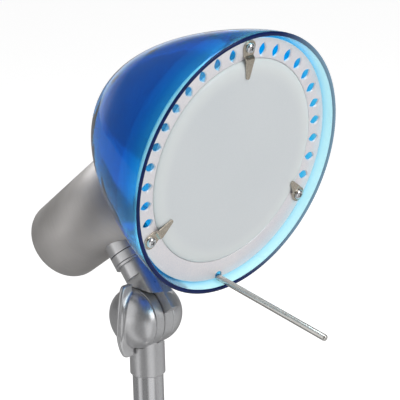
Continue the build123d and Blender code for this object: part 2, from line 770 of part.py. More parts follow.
# Swivel saddle
# Block inside the housing with a curved underside and a flat seat for the nut.
with BuildPart() as swivel_saddle:
    with BuildSketch(stem_plane(38)):
        Circle(11)
    extrude(amount=SADDLE_TOP - 38)
    add(can(-50, 20, HOUSING_WALL + FIT), mode=Mode.INTERSECT)
    with BuildSketch(stem_plane(38)):
        Circle(NIPPLE_RADIUS)
        with Locations((-PIN_SPACING, 0), (PIN_SPACING, 0)):
            Circle(1.25)
    extrude(amount=10, mode=Mode.SUBTRACT)
save(swivel_saddle, "swivel_saddle")

# Lamp housing
# Spun metal can with a closed round-edged back, cut to fit against the shade.
with BuildPart() as lamp_housing:
    add(can(HOUSING_REAR, 32))
    back_edge = lamp_housing.edges().filter_by(GeomType.CIRCLE).sort_by(housing_axis)[0]
    fillet(back_edge, HOUSING_EDGE)
    offset(amount=-HOUSING_WALL, openings=lamp_housing.faces().sort_by(housing_axis)[-1])
    add(bowl(SHADE_RADIUS, SHADE_DEPTH), mode=Mode.SUBTRACT)
    with BuildSketch(stem_plane(BOSS_START)):
        Circle(NIPPLE_RADIUS)
        with Locations((-PIN_SPACING, 0), (PIN_SPACING, 0)):
            Circle(1.25)
    extrude(amount=12, mode=Mode.SUBTRACT)
    with BuildSketch(screw_side):
        Circle(1.55)
    extrude(amount=30, mode=Mode.SUBTRACT)
save(lamp_housing, "lamp_housing")

# Mounting plate
# Pressed cup across the inside of the housing that holds the neck and the lampholder.
with BuildPart() as mounting_plate:
    add(can(4, PLATE_FACE, HOUSING_WALL + 0.02))
    add(can(4, PLATE_FACE - 1.5, HOUSING_WALL + 1.5), mode=Mode.SUBTRACT)
    with BuildSketch(housing_plane(PLATE_FACE)):
        with Locations((0, 5.5), (0, -5.5)):
            Circle(1.5)
        with Locations((7.5, 0), (-7.5, 0)):
            Circle(2)
        with PolarLocations(18.4, 3, start_angle=30):
            Circle(1.5)
    extrude(amount=-1.5, mode=Mode.SUBTRACT)
    with BuildSketch(screw_side):
        Circle(1.5)
    extrude(amount=30, mode=Mode.SUBTRACT)
save(mounting_plate, "mounting_plate")

# Mounting screws
# Two screws into the lampholder and three into the neck, with their heads behind the plate.
with BuildPart() as mounting_screws:
    with BuildSketch(housing_plane(PLATE_FACE - 3.3)):
        with Locations((0, 5.5), (0, -5.5)):
            Circle(2.6)
        with PolarLocations(18.4, 3, start_angle=30):
            Circle(2.6)
    extrude(amount=1.8)
    with BuildSketch(housing_plane(PLATE_FACE - 1.5)):
        with Locations((0, 5.5), (0, -5.5)):
            Circle(1.45)
        with PolarLocations(18.4, 3, start_angle=30):
            Circle(1.45)
    extrude(amount=4)
save(mounting_screws, "mounting_screws")

# Housing screw
# Single screw on the far side that fixes the housing to the mounting plate.
with BuildPart() as housing_screw:
    with BuildSketch(screw_side.offset(HOUSING_RADIUS + 0.3)):
        Circle(2.8)
    extrude(amount=1.7)
    chamfer(housing_screw.edges().sort_by(Axis.Y)[-1], 0.5)
    with BuildSketch(screw_side.offset(HOUSING_RADIUS + 0.3)):
        Circle(1.45)
    extrude(amount=-4)
    with BuildSketch(screw_side.offset(HOUSING_RADIUS + 2)):
        Rectangle(3.2, 0.7)
        Rectangle(0.7, 3.2)
    extrude(amount=-0.9, mode=Mode.SUBTRACT)
save(housing_screw, "housing_screw")

# Neck
# Flanged threaded sleeve that passes through the shade around the lampholder.
with BuildPart() as neck:
    with BuildSketch(housing_plane(PLATE_FACE)):
        Circle(21.5)
    extrude(amount=2)
    with BuildSketch(housing_plane(PLATE_FACE)):
        Circle(NECK_RADIUS)
    extrude(amount=NECK_END - PLATE_FACE)
    with BuildSketch(housing_plane(PLATE_FACE)):
        Circle(NECK_BORE)
        with PolarLocations(18.4, 3, start_angle=30):
            Circle(1.5)
    extrude(amount=NECK_END - PLATE_FACE, mode=Mode.SUBTRACT)
save(neck, "neck")

# Shade ring nut
# Knurled ring on the neck that clamps the shade against the housing.
with BuildPart() as ring_nut:
    with BuildSketch(housing_plane(NECK_SEAT)):
        Circle(NUT_RADIUS)
        Circle(NECK_RADIUS, mode=Mode.SUBTRACT)
        with PolarLocations(NUT_RADIUS, 12):
            Circle(0.9, mode=Mode.SUBTRACT)
    extrude(amount=NECK_END - 0.5 - NECK_SEAT)
save(ring_nut, "ring_nut")

# Lampholder
# Round ceramic block with a slot for the lamp's flat end and holes for its pins.
with BuildPart() as lampholder:
    with BuildSketch(housing_plane(PLATE_FACE)):
        Circle(HOLDER_RADIUS)
    extrude(amount=HOLDER_END - PLATE_FACE)
    chamfer(lampholder.edges().sort_by(housing_axis)[-1], 0.8)
    with BuildSketch(housing_plane(HOLDER_END)):
        Rectangle(12.4, 5.4)
    extrude(amount=-6, mode=Mode.SUBTRACT)
    with BuildSketch(housing_plane(HOLDER_END)):
        with Locations((-4.5, 0), (4.5, 0)):
            Circle(1.2)
    extrude(amount=-16, mode=Mode.SUBTRACT)
    with BuildSketch(housing_plane(PLATE_FACE)):
        with Locations((0, 5.5), (0, -5.5)):
            Circle(1.5)
    extrude(amount=4, mode=Mode.SUBTRACT)
save(lampholder, "lampholder")

# Lamp capsule
# Small halogen lamp in frosted quartz, with a domed end and a flat pinched foot.
with BuildPart() as lamp_capsule:
    with BuildSketch(housing_plane(CAPSULE[0])):
        Circle(CAPSULE_RADIUS)
    extrude(amount=CAPSULE[1] - CAPSULE[0])
    fillet(lamp_capsule.edges().sort_by(housing_axis)[-1], CAPSULE_RADIUS - 0.3)
    with BuildSketch(housing_plane(HOLDER_END - 5.5)):
        Rectangle(12, 5)
    extrude(amount=CAPSULE[0] - HOLDER_END + 5.5)
save(lamp_capsule, "lamp_capsule")

# Lamp pins
# Two wire pins under the pinched foot.
with BuildPart() as lamp_pins:
    with BuildSketch(housing_plane(HOLDER_END - 15)):
        with Locations((-4.5, 0), (4.5, 0)):
            Circle(0.8)
    extrude(amount=9.5)
save(lamp_pins, "lamp_pins")

# Shade hollow
# The space taken out of the shade, which leaves its screw posts and its seat for the neck.
with BuildPart() as shade_hollow:
    add(bowl(SHADE_RADIUS - SHADE_WALL, SHADE_DEPTH - SHADE_WALL))
    with BuildSketch(mouth_plane(FLANGE_FRONT - SHEET)):
        with PolarLocations(CLIP_CIRCLE, 3, start_angle=90):
            Circle(3.8)
    extrude(amount=-40, mode=Mode.SUBTRACT)
    with BuildSketch(mouth_plane(ROD_SEAT)):
        with Locations((0, -ROD_DROP)):
            Circle(4)
    extrude(amount=-30, mode=Mode.SUBTRACT)
    with BuildSketch(housing_plane(PLATE_FACE)):
        Circle(NUT_RADIUS + 1)
    extrude(amount=NECK_SEAT - PLATE_FACE, mode=Mode.SUBTRACT)

# Shade
# Clear blue moulding with three screw posts inside the mouth and a seat for the rod.
with BuildPart() as shade:
    add(bowl(SHADE_RADIUS, SHADE_DEPTH))
    add(shade_hollow.part, mode=Mode.SUBTRACT)
    rim = shade.edges().filter_by(GeomType.CIRCLE).sort_by(mouth_axis)[-2:]
    fillet(rim, 0.7)
    with BuildSketch(housing_plane(PLATE_FACE)):
        Circle(NECK_RADIUS + 0.3)
    extrude(amount=NECK_SEAT - PLATE_FACE, mode=Mode.SUBTRACT)
    with BuildSketch(mouth_plane(FLANGE_FRONT - SHEET)):
        with PolarLocations(CLIP_CIRCLE, 3, start_angle=90):
            Circle(1.5)
    extrude(amount=-13, mode=Mode.SUBTRACT)
    with BuildSketch(mouth_plane(ROD_SEAT)):
        with Locations((0, -ROD_DROP)):
            Circle(1.4)
    extrude(amount=-6.2, mode=Mode.SUBTRACT)
save(shade, "shade")


def vent_sketch(distance):
    """Ring of eye-shaped vents, ten degrees apart, with gaps for the clips and the rod."""
    with BuildSketch(mouth_plane(distance)) as eyes:
        for start in (-20, 100):
            with PolarLocations(VENT_CIRCLE, 11, start_angle=start, angular_range=100, endpoint=True):
                with BuildSketch(mode=Mode.PRIVATE) as eye:
                    with BuildLine():
                        start_point = (-VENT_HALF_LENGTH, 0)
                        end_point = (VENT_HALF_LENGTH, 0)
                        ThreePointArc(start_point, (0, VENT_HALF_WIDTH), end_point)
                        ThreePointArc(end_point, (0, -VENT_HALF_WIDTH), start_point)
                    make_face()
                add(eye.sketch)
    return eyes.sketch


# Reflector
# Spun silver bowl and its textured front flange in one piece, with a step for the glass.
with BuildPart() as reflector:
    add(bowl(BOWL_RADIUS + SHEET, BOWL_DEPTH + SHEET, LEDGE, BOWL_POWERS))
    with BuildSketch(mouth_side):
        with BuildLine():
            step_radius = GLASS_RADIUS + 0.5
            Polyline(
                (LEDGE - SHEET, BOWL_RADIUS - 1),
                (LEDGE - SHEET, step_radius + SHEET),
                (FLANGE_FRONT - SHEET, step_radius + SHEET),
                (FLANGE_FRONT - SHEET, FLANGE_RADIUS),
                (FLANGE_FRONT, FLANGE_RADIUS),
                (FLANGE_FRONT, step_radius),
                (LEDGE, step_radius),
                (LEDGE, BOWL_RADIUS - 1),
                close=True,
            )
        make_face()
    revolve(axis=mouth_axis)
    add(bowl(BOWL_RADIUS, BOWL_DEPTH, LEDGE, BOWL_POWERS), mode=Mode.SUBTRACT)
    extrude(vent_sketch(FLANGE_FRONT), amount=-SHEET, mode=Mode.SUBTRACT)
    with BuildSketch(mouth_plane(FLANGE_FRONT)):
        with PolarLocations(CLIP_CIRCLE, 3, start_angle=90):
            Circle(1.7)
        with Locations((0, -ROD_DROP)):
            SlotCenterPoint((0, 0), (0, 1.8), 9, rotation=90)
    extrude(amount=-SHEET, mode=Mode.SUBTRACT)
    with BuildSketch(housing_plane(PLATE_FACE)):
        Circle(NECK_OPENING)
    extrude(amount=30, mode=Mode.SUBTRACT)
save(reflector, "reflector")

# Glass disc
# Frosted disc in the reflector's step, with a bull-nosed front edge.
with BuildPart() as glass_disc:
    with BuildSketch(mouth_plane(LEDGE)):
        Circle(GLASS_RADIUS)
    extrude(amount=GLASS_FRONT - LEDGE)
    edges = glass_disc.edges().sort_by(mouth_axis)
    fillet(edges[-1], 1.6)
save(glass_disc, "glass_disc")


def clip_centre(angle):
    """Screw centre of a clip, at an angle round the mouth from the top."""
    across_mouth = mouth_plane(FLANGE_FRONT)
    turn = radians(90 - angle)
    place = (CLIP_CIRCLE * cos(turn), CLIP_CIRCLE * sin(turn), 0)
    return Vector(*across_mouth.from_local_coords(place))


def save_clip(name, angle, swing, length):
    """Teardrop spring clip with a tongue stepped up over the glass."""
    heading = radians(270 - angle + swing)
    sideways = Vector(0, 1, 0)
    upwards = mouth_side.y_dir
    inward = sideways * cos(heading) + upwards * sin(heading)
    flat = Plane(clip_centre(angle), x_dir=inward, z_dir=mouth_normal)
    upright = Plane(clip_centre(angle), x_dir=inward, z_dir=inward.cross(mouth_normal))
    with BuildPart() as clip:
        with BuildSketch(flat):
            Circle(4.3)
            with Locations((length - 1.3, 0)):
                Circle(1.3)
            make_hull()
        extrude(amount=4)
        with BuildSketch(upright):
            with BuildLine():
                Polyline(
                    (-5, 0),
                    (4.6, 0),
                    (6.6, CLIP_LIFT),
                    (length + 1, CLIP_LIFT),
                    (length + 1, CLIP_LIFT + CLIP_HEIGHT),
                    (6.2, CLIP_LIFT + CLIP_HEIGHT),
                    (4.2, CLIP_HEIGHT),
                    (-5, CLIP_HEIGHT),
                    close=True,
                )
            make_face()
        extrude(amount=6, both=True, mode=Mode.INTERSECT)
        with BuildSketch(flat):
            Circle(1.55)
        extrude(amount=4, mode=Mode.SUBTRACT)
    save(clip, name)


# Glass clips
# Three pressed clips that hold the glass and turn aside on their screws.
save_clip("clip_top", 0, 0, 17.5)
save_clip("clip_near", -120, 8, 16.5)
save_clip("clip_far", 120, -19, 13.5)

# Clip screws
# Three pan-head screws through the clips and the flange into the shade's posts.
with BuildPart() as clip_screws:
    head_start = FLANGE_FRONT + CLIP_HEIGHT + 0.05
    with BuildSketch(mouth_plane(head_start)):
        with PolarLocations(CLIP_CIRCLE, 3, start_angle=90):
            Circle(3)
    extrude(amount=1.9)
    fillet(clip_screws.edges().filter_by(GeomType.CIRCLE).group_by(mouth_axis)[-1], 1.1)
    with BuildSketch(mouth_plane(head_start)):
        with PolarLocations(CLIP_CIRCLE, 3, start_angle=90):
            Circle(1.48)
    extrude(amount=-13)
    with BuildSketch(mouth_plane(head_start + 1.9)):
        with PolarLocations(CLIP_CIRCLE, 3, start_angle=60):
            Rectangle(3.2, 0.7)
            Rectangle(0.7, 3.2)
    extrude(amount=-1, mode=Mode.SUBTRACT)
save(clip_screws, "clip_screws")

# Handle rod
# Polished rod screwed into the bottom of the shade, used to turn the hot head.
with BuildPart() as handle_rod:
    with BuildSketch(mouth_plane(ROD_SEAT)):
        with Locations((0, -ROD_DROP)):
            Circle(ROD_RADIUS)
    extrude(amount=ROD_END - ROD_SEAT)
    fillet(handle_rod.edges().sort_by(mouth_axis)[-1], 1.2)
    with BuildSketch(mouth_plane(ROD_SEAT)):
        with Locations((0, -ROD_DROP)):
            Circle(1.38)
    extrude(amount=-5.8)
save(handle_rod, "handle_rod")
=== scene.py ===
import json
from math import cos, radians, sin, sqrt, tau

import bmesh
import bpy
from mathutils import Matrix, Vector


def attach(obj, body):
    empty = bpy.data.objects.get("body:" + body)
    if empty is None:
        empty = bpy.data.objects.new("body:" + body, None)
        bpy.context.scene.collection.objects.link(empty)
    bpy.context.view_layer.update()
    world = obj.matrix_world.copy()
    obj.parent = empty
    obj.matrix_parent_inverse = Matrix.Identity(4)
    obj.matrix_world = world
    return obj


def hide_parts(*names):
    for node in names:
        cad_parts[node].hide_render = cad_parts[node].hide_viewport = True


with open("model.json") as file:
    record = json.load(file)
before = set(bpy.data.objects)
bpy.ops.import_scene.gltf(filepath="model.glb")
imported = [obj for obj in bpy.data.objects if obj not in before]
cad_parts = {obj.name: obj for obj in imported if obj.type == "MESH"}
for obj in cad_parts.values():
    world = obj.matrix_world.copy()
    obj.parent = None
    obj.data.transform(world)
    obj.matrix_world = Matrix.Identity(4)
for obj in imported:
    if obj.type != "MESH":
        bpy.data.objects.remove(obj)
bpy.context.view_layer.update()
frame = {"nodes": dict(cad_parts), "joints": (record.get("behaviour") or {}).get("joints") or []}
joints = {joint["name"]: joint for joint in frame["joints"]}

# Camera
# A long lens in front of the head, to its right and a little above it, as in the photograph.
head_centre = Vector(joints["head_tilt"]["pos_m"])
CAMERA_FROM_HEAD_JOINT = Vector((0.79544, -0.73168, 0.39701))
CAMERA_RIGHT = Vector((0.7045, 0.7093, -0.0259))
CAMERA_DOWN = Vector((0.1895, -0.2231, -0.9562))
camera = bpy.data.objects.new("camera", bpy.data.cameras.new("camera"))
camera.data.sensor_width = 36
camera.data.lens = 180
camera_turn = Matrix((CAMERA_RIGHT, -CAMERA_DOWN, CAMERA_DOWN.cross(CAMERA_RIGHT))).transposed()
camera.matrix_world = Matrix.Translation(head_centre + CAMERA_FROM_HEAD_JOINT) @ camera_turn.to_4x4()
bpy.context.scene.collection.objects.link(camera)
bpy.context.scene.camera = camera
bpy.context.scene.view_settings.view_transform = "Standard"

# Daylight of the studio
# A white sweep low behind the lamp. The room round it is dim in metal and brighter through clear plastic.
ROOM_LIGHT = 0.55
DIM_ROOM = 0.16
DIM_ROOM_THROUGH = 0.55
SWEEP_LIGHT = 1
TOWARDS_SWEEP = (-0.735, 0.678, 0)
SWEEP_SIDES = (0.72, 1)
SWEEP_TOP = (-0.05, 0.22)


def length_along(nodes, links, vector, heading):
    """How far a vector reaches along a heading."""
    product = nodes.new("ShaderNodeVectorMath")
    product.operation = "DOT_PRODUCT"
    product.inputs[1].default_value = heading
    links.new(vector, product.inputs[0])
    return product.outputs["Value"]


def faded(nodes, links, measure, reach, shares=(0, 1)):
    """Value that runs smoothly from one share to the other while a measure crosses its reach."""
    fade = nodes.new("ShaderNodeMapRange")
    fade.interpolation_type = "SMOOTHSTEP"
    fade.inputs["From Min"].default_value, fade.inputs["From Max"].default_value = reach
    fade.inputs["To Min"].default_value, fade.inputs["To Max"].default_value = shares
    links.new(measure, fade.inputs["Value"])
    return fade.outputs["Result"]


world = bpy.data.worlds.new("studio")
bpy.context.scene.world = world
world.use_nodes = True
nodes, links = world.node_tree.nodes, world.node_tree.links
heading = nodes.new("ShaderNodeTexCoord").outputs["Generated"]
behind = length_along(nodes, links, heading, TOWARDS_SWEEP)
height = nodes.new("ShaderNodeSeparateXYZ")
links.new(heading, height.inputs[0])
sweep = nodes.new("ShaderNodeMath")
sweep.operation = "MULTIPLY"
links.new(faded(nodes, links, behind, SWEEP_SIDES), sweep.inputs[0])
links.new(faded(nodes, links, height.outputs["Z"], SWEEP_TOP, (1, 0)), sweep.inputs[1])
surroundings = nodes.new("ShaderNodeMapRange")
surroundings.inputs["To Max"].default_value = SWEEP_LIGHT
links.new(sweep.outputs[0], surroundings.inputs["Value"])
path = nodes.new("ShaderNodeLightPath")
dim = nodes.new("ShaderNodeMapRange")
dim.inputs["To Min"].default_value = DIM_ROOM
dim.inputs["To Max"].default_value = DIM_ROOM_THROUGH
links.new(path.outputs["Is Transmission Ray"], dim.inputs["Value"])
links.new(dim.outputs["Result"], surroundings.inputs["To Min"])
in_lamp = nodes.new("ShaderNodeMath")
in_lamp.operation = "MAXIMUM"
links.new(path.outputs["Is Glossy Ray"], in_lamp.inputs[0])
links.new(path.outputs["Is Transmission Ray"], in_lamp.inputs[1])
light = nodes.new("ShaderNodeMix")
light.inputs["A"].default_value = ROOM_LIGHT
links.new(in_lamp.outputs[0], light.inputs["Factor"])
links.new(surroundings.outputs["Result"], light.inputs["B"])
strength = nodes.new("ShaderNodeMix")
strength.inputs["B"].default_value = 1
links.new(path.outputs["Is Camera Ray"], strength.inputs["Factor"])
links.new(light.outputs["Result"], strength.inputs["A"])
nodes["Background"].inputs["Color"].default_value = (1, 1, 1, 1)
links.new(strength.outputs["Result"], nodes["Background"].inputs["Strength"])

# Floor
# A wide pale sheet that fades into the white of the room but keeps the lamp's shadow.
# White cards round it, each with its heading, the reach of its edge and its light, show in metal alone.
FLOOR_RADIUS = 7
FLOOR_SHADE = 0.82
FLOOR_GLOW = 0.5
FLOOR_GLOW_THROUGH = 0.7
FLOOR_IN_METAL = 0.3
WHITE_CARDS = (
    ((-0.378, -0.911, 0), (0.93, 0.99), 0.6),
    ((0.946, -0.362, 0), (0.85, 0.98), 0.65),
    ((0.6, 0.8, 0), (0.6, 1), 0.3),
)


def add_up(nodes, links, total, parts, rest):
    """Feed a socket with the sum of some parts, each times its share, and of a constant rest."""
    for part, share in parts:
        term = nodes.new("ShaderNodeMath")
        term.operation = "MULTIPLY_ADD"
        term.inputs[1].default_value = share
        term.inputs[2].default_value = rest
        links.new(part, term.inputs[0])
        links.new(term.outputs[0], total)
        total = term.inputs[2]


mesh = bmesh.new()
bmesh.ops.create_circle(mesh, cap_ends=True, segments=96, radius=FLOOR_RADIUS)
floor = bpy.data.objects.new("floor", bpy.data.meshes.new("floor"))
mesh.to_mesh(floor.data)
mesh.free()
bpy.context.scene.collection.objects.link(floor)
paper = bpy.data.materials.new("paper")
paper.use_nodes = True
nodes, links = paper.node_tree.nodes, paper.node_tree.links
sheet = nodes["Principled BSDF"]
sheet.inputs["Base Color"].default_value = (FLOOR_SHADE, FLOOR_SHADE, FLOOR_SHADE, 1)
sheet.inputs["Roughness"].default_value = 0.9
sheet.inputs["Specular IOR Level"].default_value = 0.1
glow = nodes.new("ShaderNodeEmission")
path = nodes.new("ShaderNodeLightPath")
rays = [
    (path.outputs["Is Camera Ray"], FLOOR_GLOW),
    (path.outputs["Is Transmission Ray"], FLOOR_GLOW_THROUGH),
]
add_up(nodes, links, glow.inputs["Strength"], rays, 0)
add = nodes.new("ShaderNodeAddShader")
links.new(sheet.outputs[0], add.inputs[0])
links.new(glow.outputs[0], add.inputs[1])
in_metal = nodes.new("ShaderNodeEmission")
spread = nodes.new("ShaderNodeVectorMath")
spread.operation = "NORMALIZE"
links.new(nodes.new("ShaderNodeTexCoord").outputs["Object"], spread.inputs[0])
cards = []
for heading, edge, share in WHITE_CARDS:
    beside = length_along(nodes, links, spread.outputs["Vector"], heading)
    cards.append((faded(nodes, links, beside, edge), share))
add_up(nodes, links, in_metal.inputs["Strength"], cards, FLOOR_IN_METAL)
from_metal = nodes.new("ShaderNodeMath")
from_metal.operation = "SUBTRACT"
from_metal.use_clamp = True
links.new(path.outputs["Is Glossy Ray"], from_metal.inputs[0])
links.new(path.outputs["Is Transmission Ray"], from_metal.inputs[1])
mix = nodes.new("ShaderNodeMixShader")
links.new(from_metal.outputs[0], mix.inputs["Fac"])
links.new(add.outputs[0], mix.inputs[1])
links.new(in_metal.outputs[0], mix.inputs[2])
links.new(mix.outputs[0], nodes["Material Output"].inputs["Surface"])
floor.data.materials.append(paper)


# Softboxes
# A broad one overhead, one in front of the mouth and a tall weak one at the camera's left.
def softbox(name, offset, width, height, power):
    """Rectangular lamp that faces the shade's middle from an offset."""
    lamp = bpy.data.objects.new(name, bpy.data.lights.new(name, "AREA"))
    lamp.data.shape = "RECTANGLE"
    lamp.data.size = width
    lamp.data.size_y = height
    lamp.data.energy = power
    lamp.location = shade_middle + Vector(offset)
    lamp.rotation_euler = (shade_middle - lamp.location).to_track_quat("-Z", "Y").to_euler()
    bpy.context.scene.collection.objects.link(lamp)


shade_middle = head_centre + Vector((0.03, 0, 0.09))
softbox("softbox_top", (-0.1, 0.15, 1.1), 0.9, 0.7, 9)
softbox("softbox_front", (1.3, 0.35, 0.5), 0.9, 1.0, 10)
softbox("softbox_side", (-0.35, -1.2, 0.35), 1.1, 1.5, 4)


# Base weight
# Iron casting under the cover, painted against rust, with a rough skin.
def colour(code):
    """Linear colour of a six-figure sRGB code."""
    parts = [int(code[place:place + 2], 16) / 255 for place in (0, 2, 4)]
    return (*[part / 12.92 if part < 0.04045 else ((part + 0.055) / 1.055) ** 2.4 for part in parts], 1)


def grained(name, dark, light, metallic, roughness, grain, relief, turn=(0, 0, 0), cloud=0.03):
    """Material whose colour, gloss and relief follow a grain, sized in metres along the turned axes."""
    material = bpy.data.materials.new(name)
    material.use_nodes = True
    nodes, links = material.node_tree.nodes, material.node_tree.links
    shader = nodes["Principled BSDF"]
    shader.inputs["Metallic"].default_value = metallic
    where = nodes.new("ShaderNodeTexCoord")
    fine_place = nodes.new("ShaderNodeMapping")
    fine_place.vector_type = "TEXTURE"
    fine_place.inputs["Rotation"].default_value = turn
    fine_place.inputs["Scale"].default_value = grain
    fine = nodes.new("ShaderNodeTexNoise")
    fine.inputs["Scale"].default_value = 1
    fine.inputs["Detail"].default_value = 3
    broad = nodes.new("ShaderNodeTexNoise")
    broad.inputs["Scale"].default_value = 1 / cloud
    broad.inputs["Detail"].default_value = 2
    links.new(where.outputs["Object"], fine_place.inputs["Vector"])
    links.new(fine_place.outputs["Vector"], fine.inputs["Vector"])
    links.new(where.outputs["Object"], broad.inputs["Vector"])
    blend = nodes.new("ShaderNodeMath")
    blend.operation = "MULTIPLY_ADD"
    blend.inputs[1].default_value = 0.5
    links.new(fine.outputs["Fac"], blend.inputs[0])
    halve = nodes.new("ShaderNodeMath")
    halve.operation = "MULTIPLY"
    halve.inputs[1].default_value = 0.5
    links.new(broad.outputs["Fac"], halve.inputs[0])
    links.new(halve.outputs[0], blend.inputs[2])
    ramp = nodes.new("ShaderNodeValToRGB")
    ramp.color_ramp.elements[0].position = 0.36
    ramp.color_ramp.elements[0].color = colour(dark)
    ramp.color_ramp.elements[1].position = 0.64
    ramp.color_ramp.elements[1].color = colour(light)
    links.new(blend.outputs[0], ramp.inputs["Fac"])
    links.new(ramp.outputs["Color"], shader.inputs["Base Color"])
    gloss = nodes.new("ShaderNodeMapRange")
    gloss.inputs["From Min"].default_value = 0.3
    gloss.inputs["From Max"].default_value = 0.7
    gloss.inputs["To Min"].default_value = roughness * 0.8
    gloss.inputs["To Max"].default_value = roughness * 1.2
    links.new(blend.outputs[0], gloss.inputs["Value"])
    links.new(gloss.outputs["Result"], shader.inputs["Roughness"])
    bump = nodes.new("ShaderNodeBump")
    bump.inputs["Distance"].default_value = relief
    links.new(fine.outputs["Fac"], bump.inputs["Height"])
    links.new(bump.outputs["Normal"], shader.inputs["Normal"])
    return material


def dress(material, *names):
    """Give CAD pieces a finished surface."""
    for name in names:
        frame["nodes"][name].data.materials.clear()
        frame["nodes"][name].data.materials.append(material)


black_iron = grained("black_iron", "1c1c1e", "2b2b2c", 0.2, 0.62, (0.0012,) * 3, 0.00012)
dress(black_iron, "base_weight")

# Base plate, its screws and the swivel's washer and nut
# Zinc-plated steel, pressed or turned, with a faint blue-grey bloom.
zinc_steel = grained("zinc_steel", "8f9297", "b9bbbd", 1, 0.34, (0.0016,) * 3, 0.00001)
dress(zinc_steel, "base_plate", "base_screws", "pedestal_washer", "pedestal_nut", "pedestal_spindle")

# Base pad and cable bush
# Black rubber with a fine matt skin, the pad stuck over the plate's screws.
black_rubber = grained("black_rubber", "131313", "1e1e1f", 0, 0.78, (0.0006,) * 3, 0.00003)
dress(black_rubber, "base_pad", "cable_bush")

# Terminal block
# White nylon moulding on the base plate, where the supply is connected.
white_nylon = grained("white_nylon", "d9d8d2", "e8e7e2", 0, 0.45, (0.0009,) * 3, 0.00001)
dress(white_nylon, "terminal_block", "pivot_bush")

# Base cover
# Steel shell drawn over the weight, spun to a satin finish round its middle and lacquered.
satin_metal = grained("satin_metal", "a9a8a7", "c4c3c1", 1, 0.27, (0.0009,) * 3, 0.000006)
dress(satin_metal, "base_cover")

# Switch
# Black nylon rocker in a snap-in frame, with a fine spark-eroded texture.
black_nylon = grained("black_nylon", "171718", "222223", 0, 0.42, (0.0004,) * 3, 0.00002)
dress(black_nylon, "switch_body", "switch_rocker")

# Pedestal
# Cast post that swivels on the base, tumbled and bright plated over a slightly uneven skin.
bright_casting = grained("bright_casting", "c0c0c2", "cccccd", 0.9, 0.33, (0.0011,) * 3, 0.000006)
dress(bright_casting, "pedestal")

# Arms
# Drawn tubes with cast ends, satin plated along their length.
drawn_tube = grained("drawn_tube", "c4c4c6", "d0d0d2", 0.95, 0.2, (0.0004, 0.0004, 0.03), 0.000004)
dress(drawn_tube, "lower_arm_tube", "upper_arm_tube")
for arm in ("lower_arm", "upper_arm"):
    dress(bright_casting, arm + "_foot", arm + "_head")

# Bolts and washers of the arm joints
# Plated carriage bolts, and washers of red-brown vulcanised fibre.
red_fibre = grained("red_fibre", "5a2a1e", "74392a", 0, 0.7, (0.0007,) * 3, 0.00003)
yellow_brass = grained("yellow_brass", "a98442", "c8a35c", 1, 0.28, (0.0011,) * 3, 0.00001)
for joint in ("base", "elbow", "head"):
    dress(zinc_steel, joint + "_bolt")
    dress(red_fibre, joint + "_washer")
    dress(yellow_brass, joint + "_knob_nut")

# Joint caps
# Domed castings that snap over the bolt heads on the far side of each joint.
LUG_BACK = -5.3
CAP_RADIUS = 17.5
CAP_CROWN = 17
CAP_WALL = 2
CAP_ROUND = 0.5
MILLIMETRES = Matrix.Scale(0.001, 4)


def axes(origin, along, up):
    """Where a piece stands: its Z along a direction and its Y as near as can be to up."""
    along = Vector(along).normalized()
    upright = (Vector(up) - along * along.dot(Vector(up))).normalized()
    turn = Matrix((upright.cross(along), upright, along)).transposed()
    return Matrix.Translation(origin) @ turn.to_4x4()


def spun(outline, steps=96):
    """Shape spun about Z from an outline of (radius, height) points."""
    mesh = bmesh.new()
    points = [mesh.verts.new((radius, 0, height)) for radius, height in outline]
    edges = [mesh.edges.new(pair) for pair in zip(points, points[1:])]
    spin = {"axis": (0, 0, 1), "cent": (0, 0, 0), "angle": tau, "steps": steps, "use_merge": True}
    bmesh.ops.spin(mesh, geom=points + edges, **spin)
    bmesh.ops.remove_doubles(mesh, verts=mesh.verts, dist=0.0005)
    on_axis = [edge for edge in mesh.edges if not edge.link_faces]
    bmesh.ops.delete(mesh, geom=on_axis, context="EDGES")
    bmesh.ops.recalc_face_normals(mesh, faces=mesh.faces)
    return mesh


def soften(mesh, width, angle=30, segments=3):
    """Round every edge that is sharper than an angle."""
    sharp = [edge for edge in mesh.edges if edge.is_manifold and edge.calc_face_angle() > radians(angle)]
    how = {"segments": segments, "profile": 0.5, "affect": "EDGES", "material": -1}
    bmesh.ops.bevel(mesh, geom=sharp, offset=width, **how)


def piece(name, mesh, place, material):
    """Object made from a bmesh in millimetres, set in its place on the lamp."""
    bmesh.ops.transform(mesh, matrix=place @ MILLIMETRES, verts=mesh.verts)
    made = bpy.data.objects.new(name, bpy.data.meshes.new(name))
    mesh.to_mesh(made.data)
    mesh.free()
    made.data.materials.append(material)
    made.data.shade_smooth()
    made.data.set_sharp_from_angle(angle=radians(32))
    bpy.context.scene.collection.objects.link(made)
    return made


def fit(made, body, slot, *nodes):
    """The piece rides on a body and stands for CAD nodes, which it hides; its slot is not used."""
    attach(made, body)
    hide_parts(*nodes)


def quarter(radius, height, start, end, steps=20):
    """Points of an ellipse about the origin, from one angle in degrees to another."""
    turns = [radians(start + (end - start) * step / steps) for step in range(steps + 1)]
    return [(radius * cos(turn), height * sin(turn)) for turn in turns]


TILTS = {"base": "lower_arm_tilt", "elbow": "elbow_tilt", "head": "head_tilt"}
CAP_BODIES = {"base": "lower_arm", "elbow": "upper_arm", "head": "fork"}
for joint, body in CAP_BODIES.items():
    centre = joints[TILTS[joint]]["pos_m"]
    across_joint = axes(centre, (0, -1, 0), (0, 0, 1))
    outside = quarter(CAP_RADIUS, -CAP_CROWN, 0, 90)
    inside = quarter(CAP_RADIUS - CAP_WALL, CAP_WALL - CAP_CROWN, 90, 0)
    outline = [(radius, LUG_BACK + height) for radius, height in outside + inside]
    mesh = spun(outline + outline[:1])
    soften(mesh, CAP_ROUND)
    cap = piece(joint + "_cap_dome", mesh, across_joint, bright_casting)
    fit(cap, body, "cast_metal", joint + "_cap")

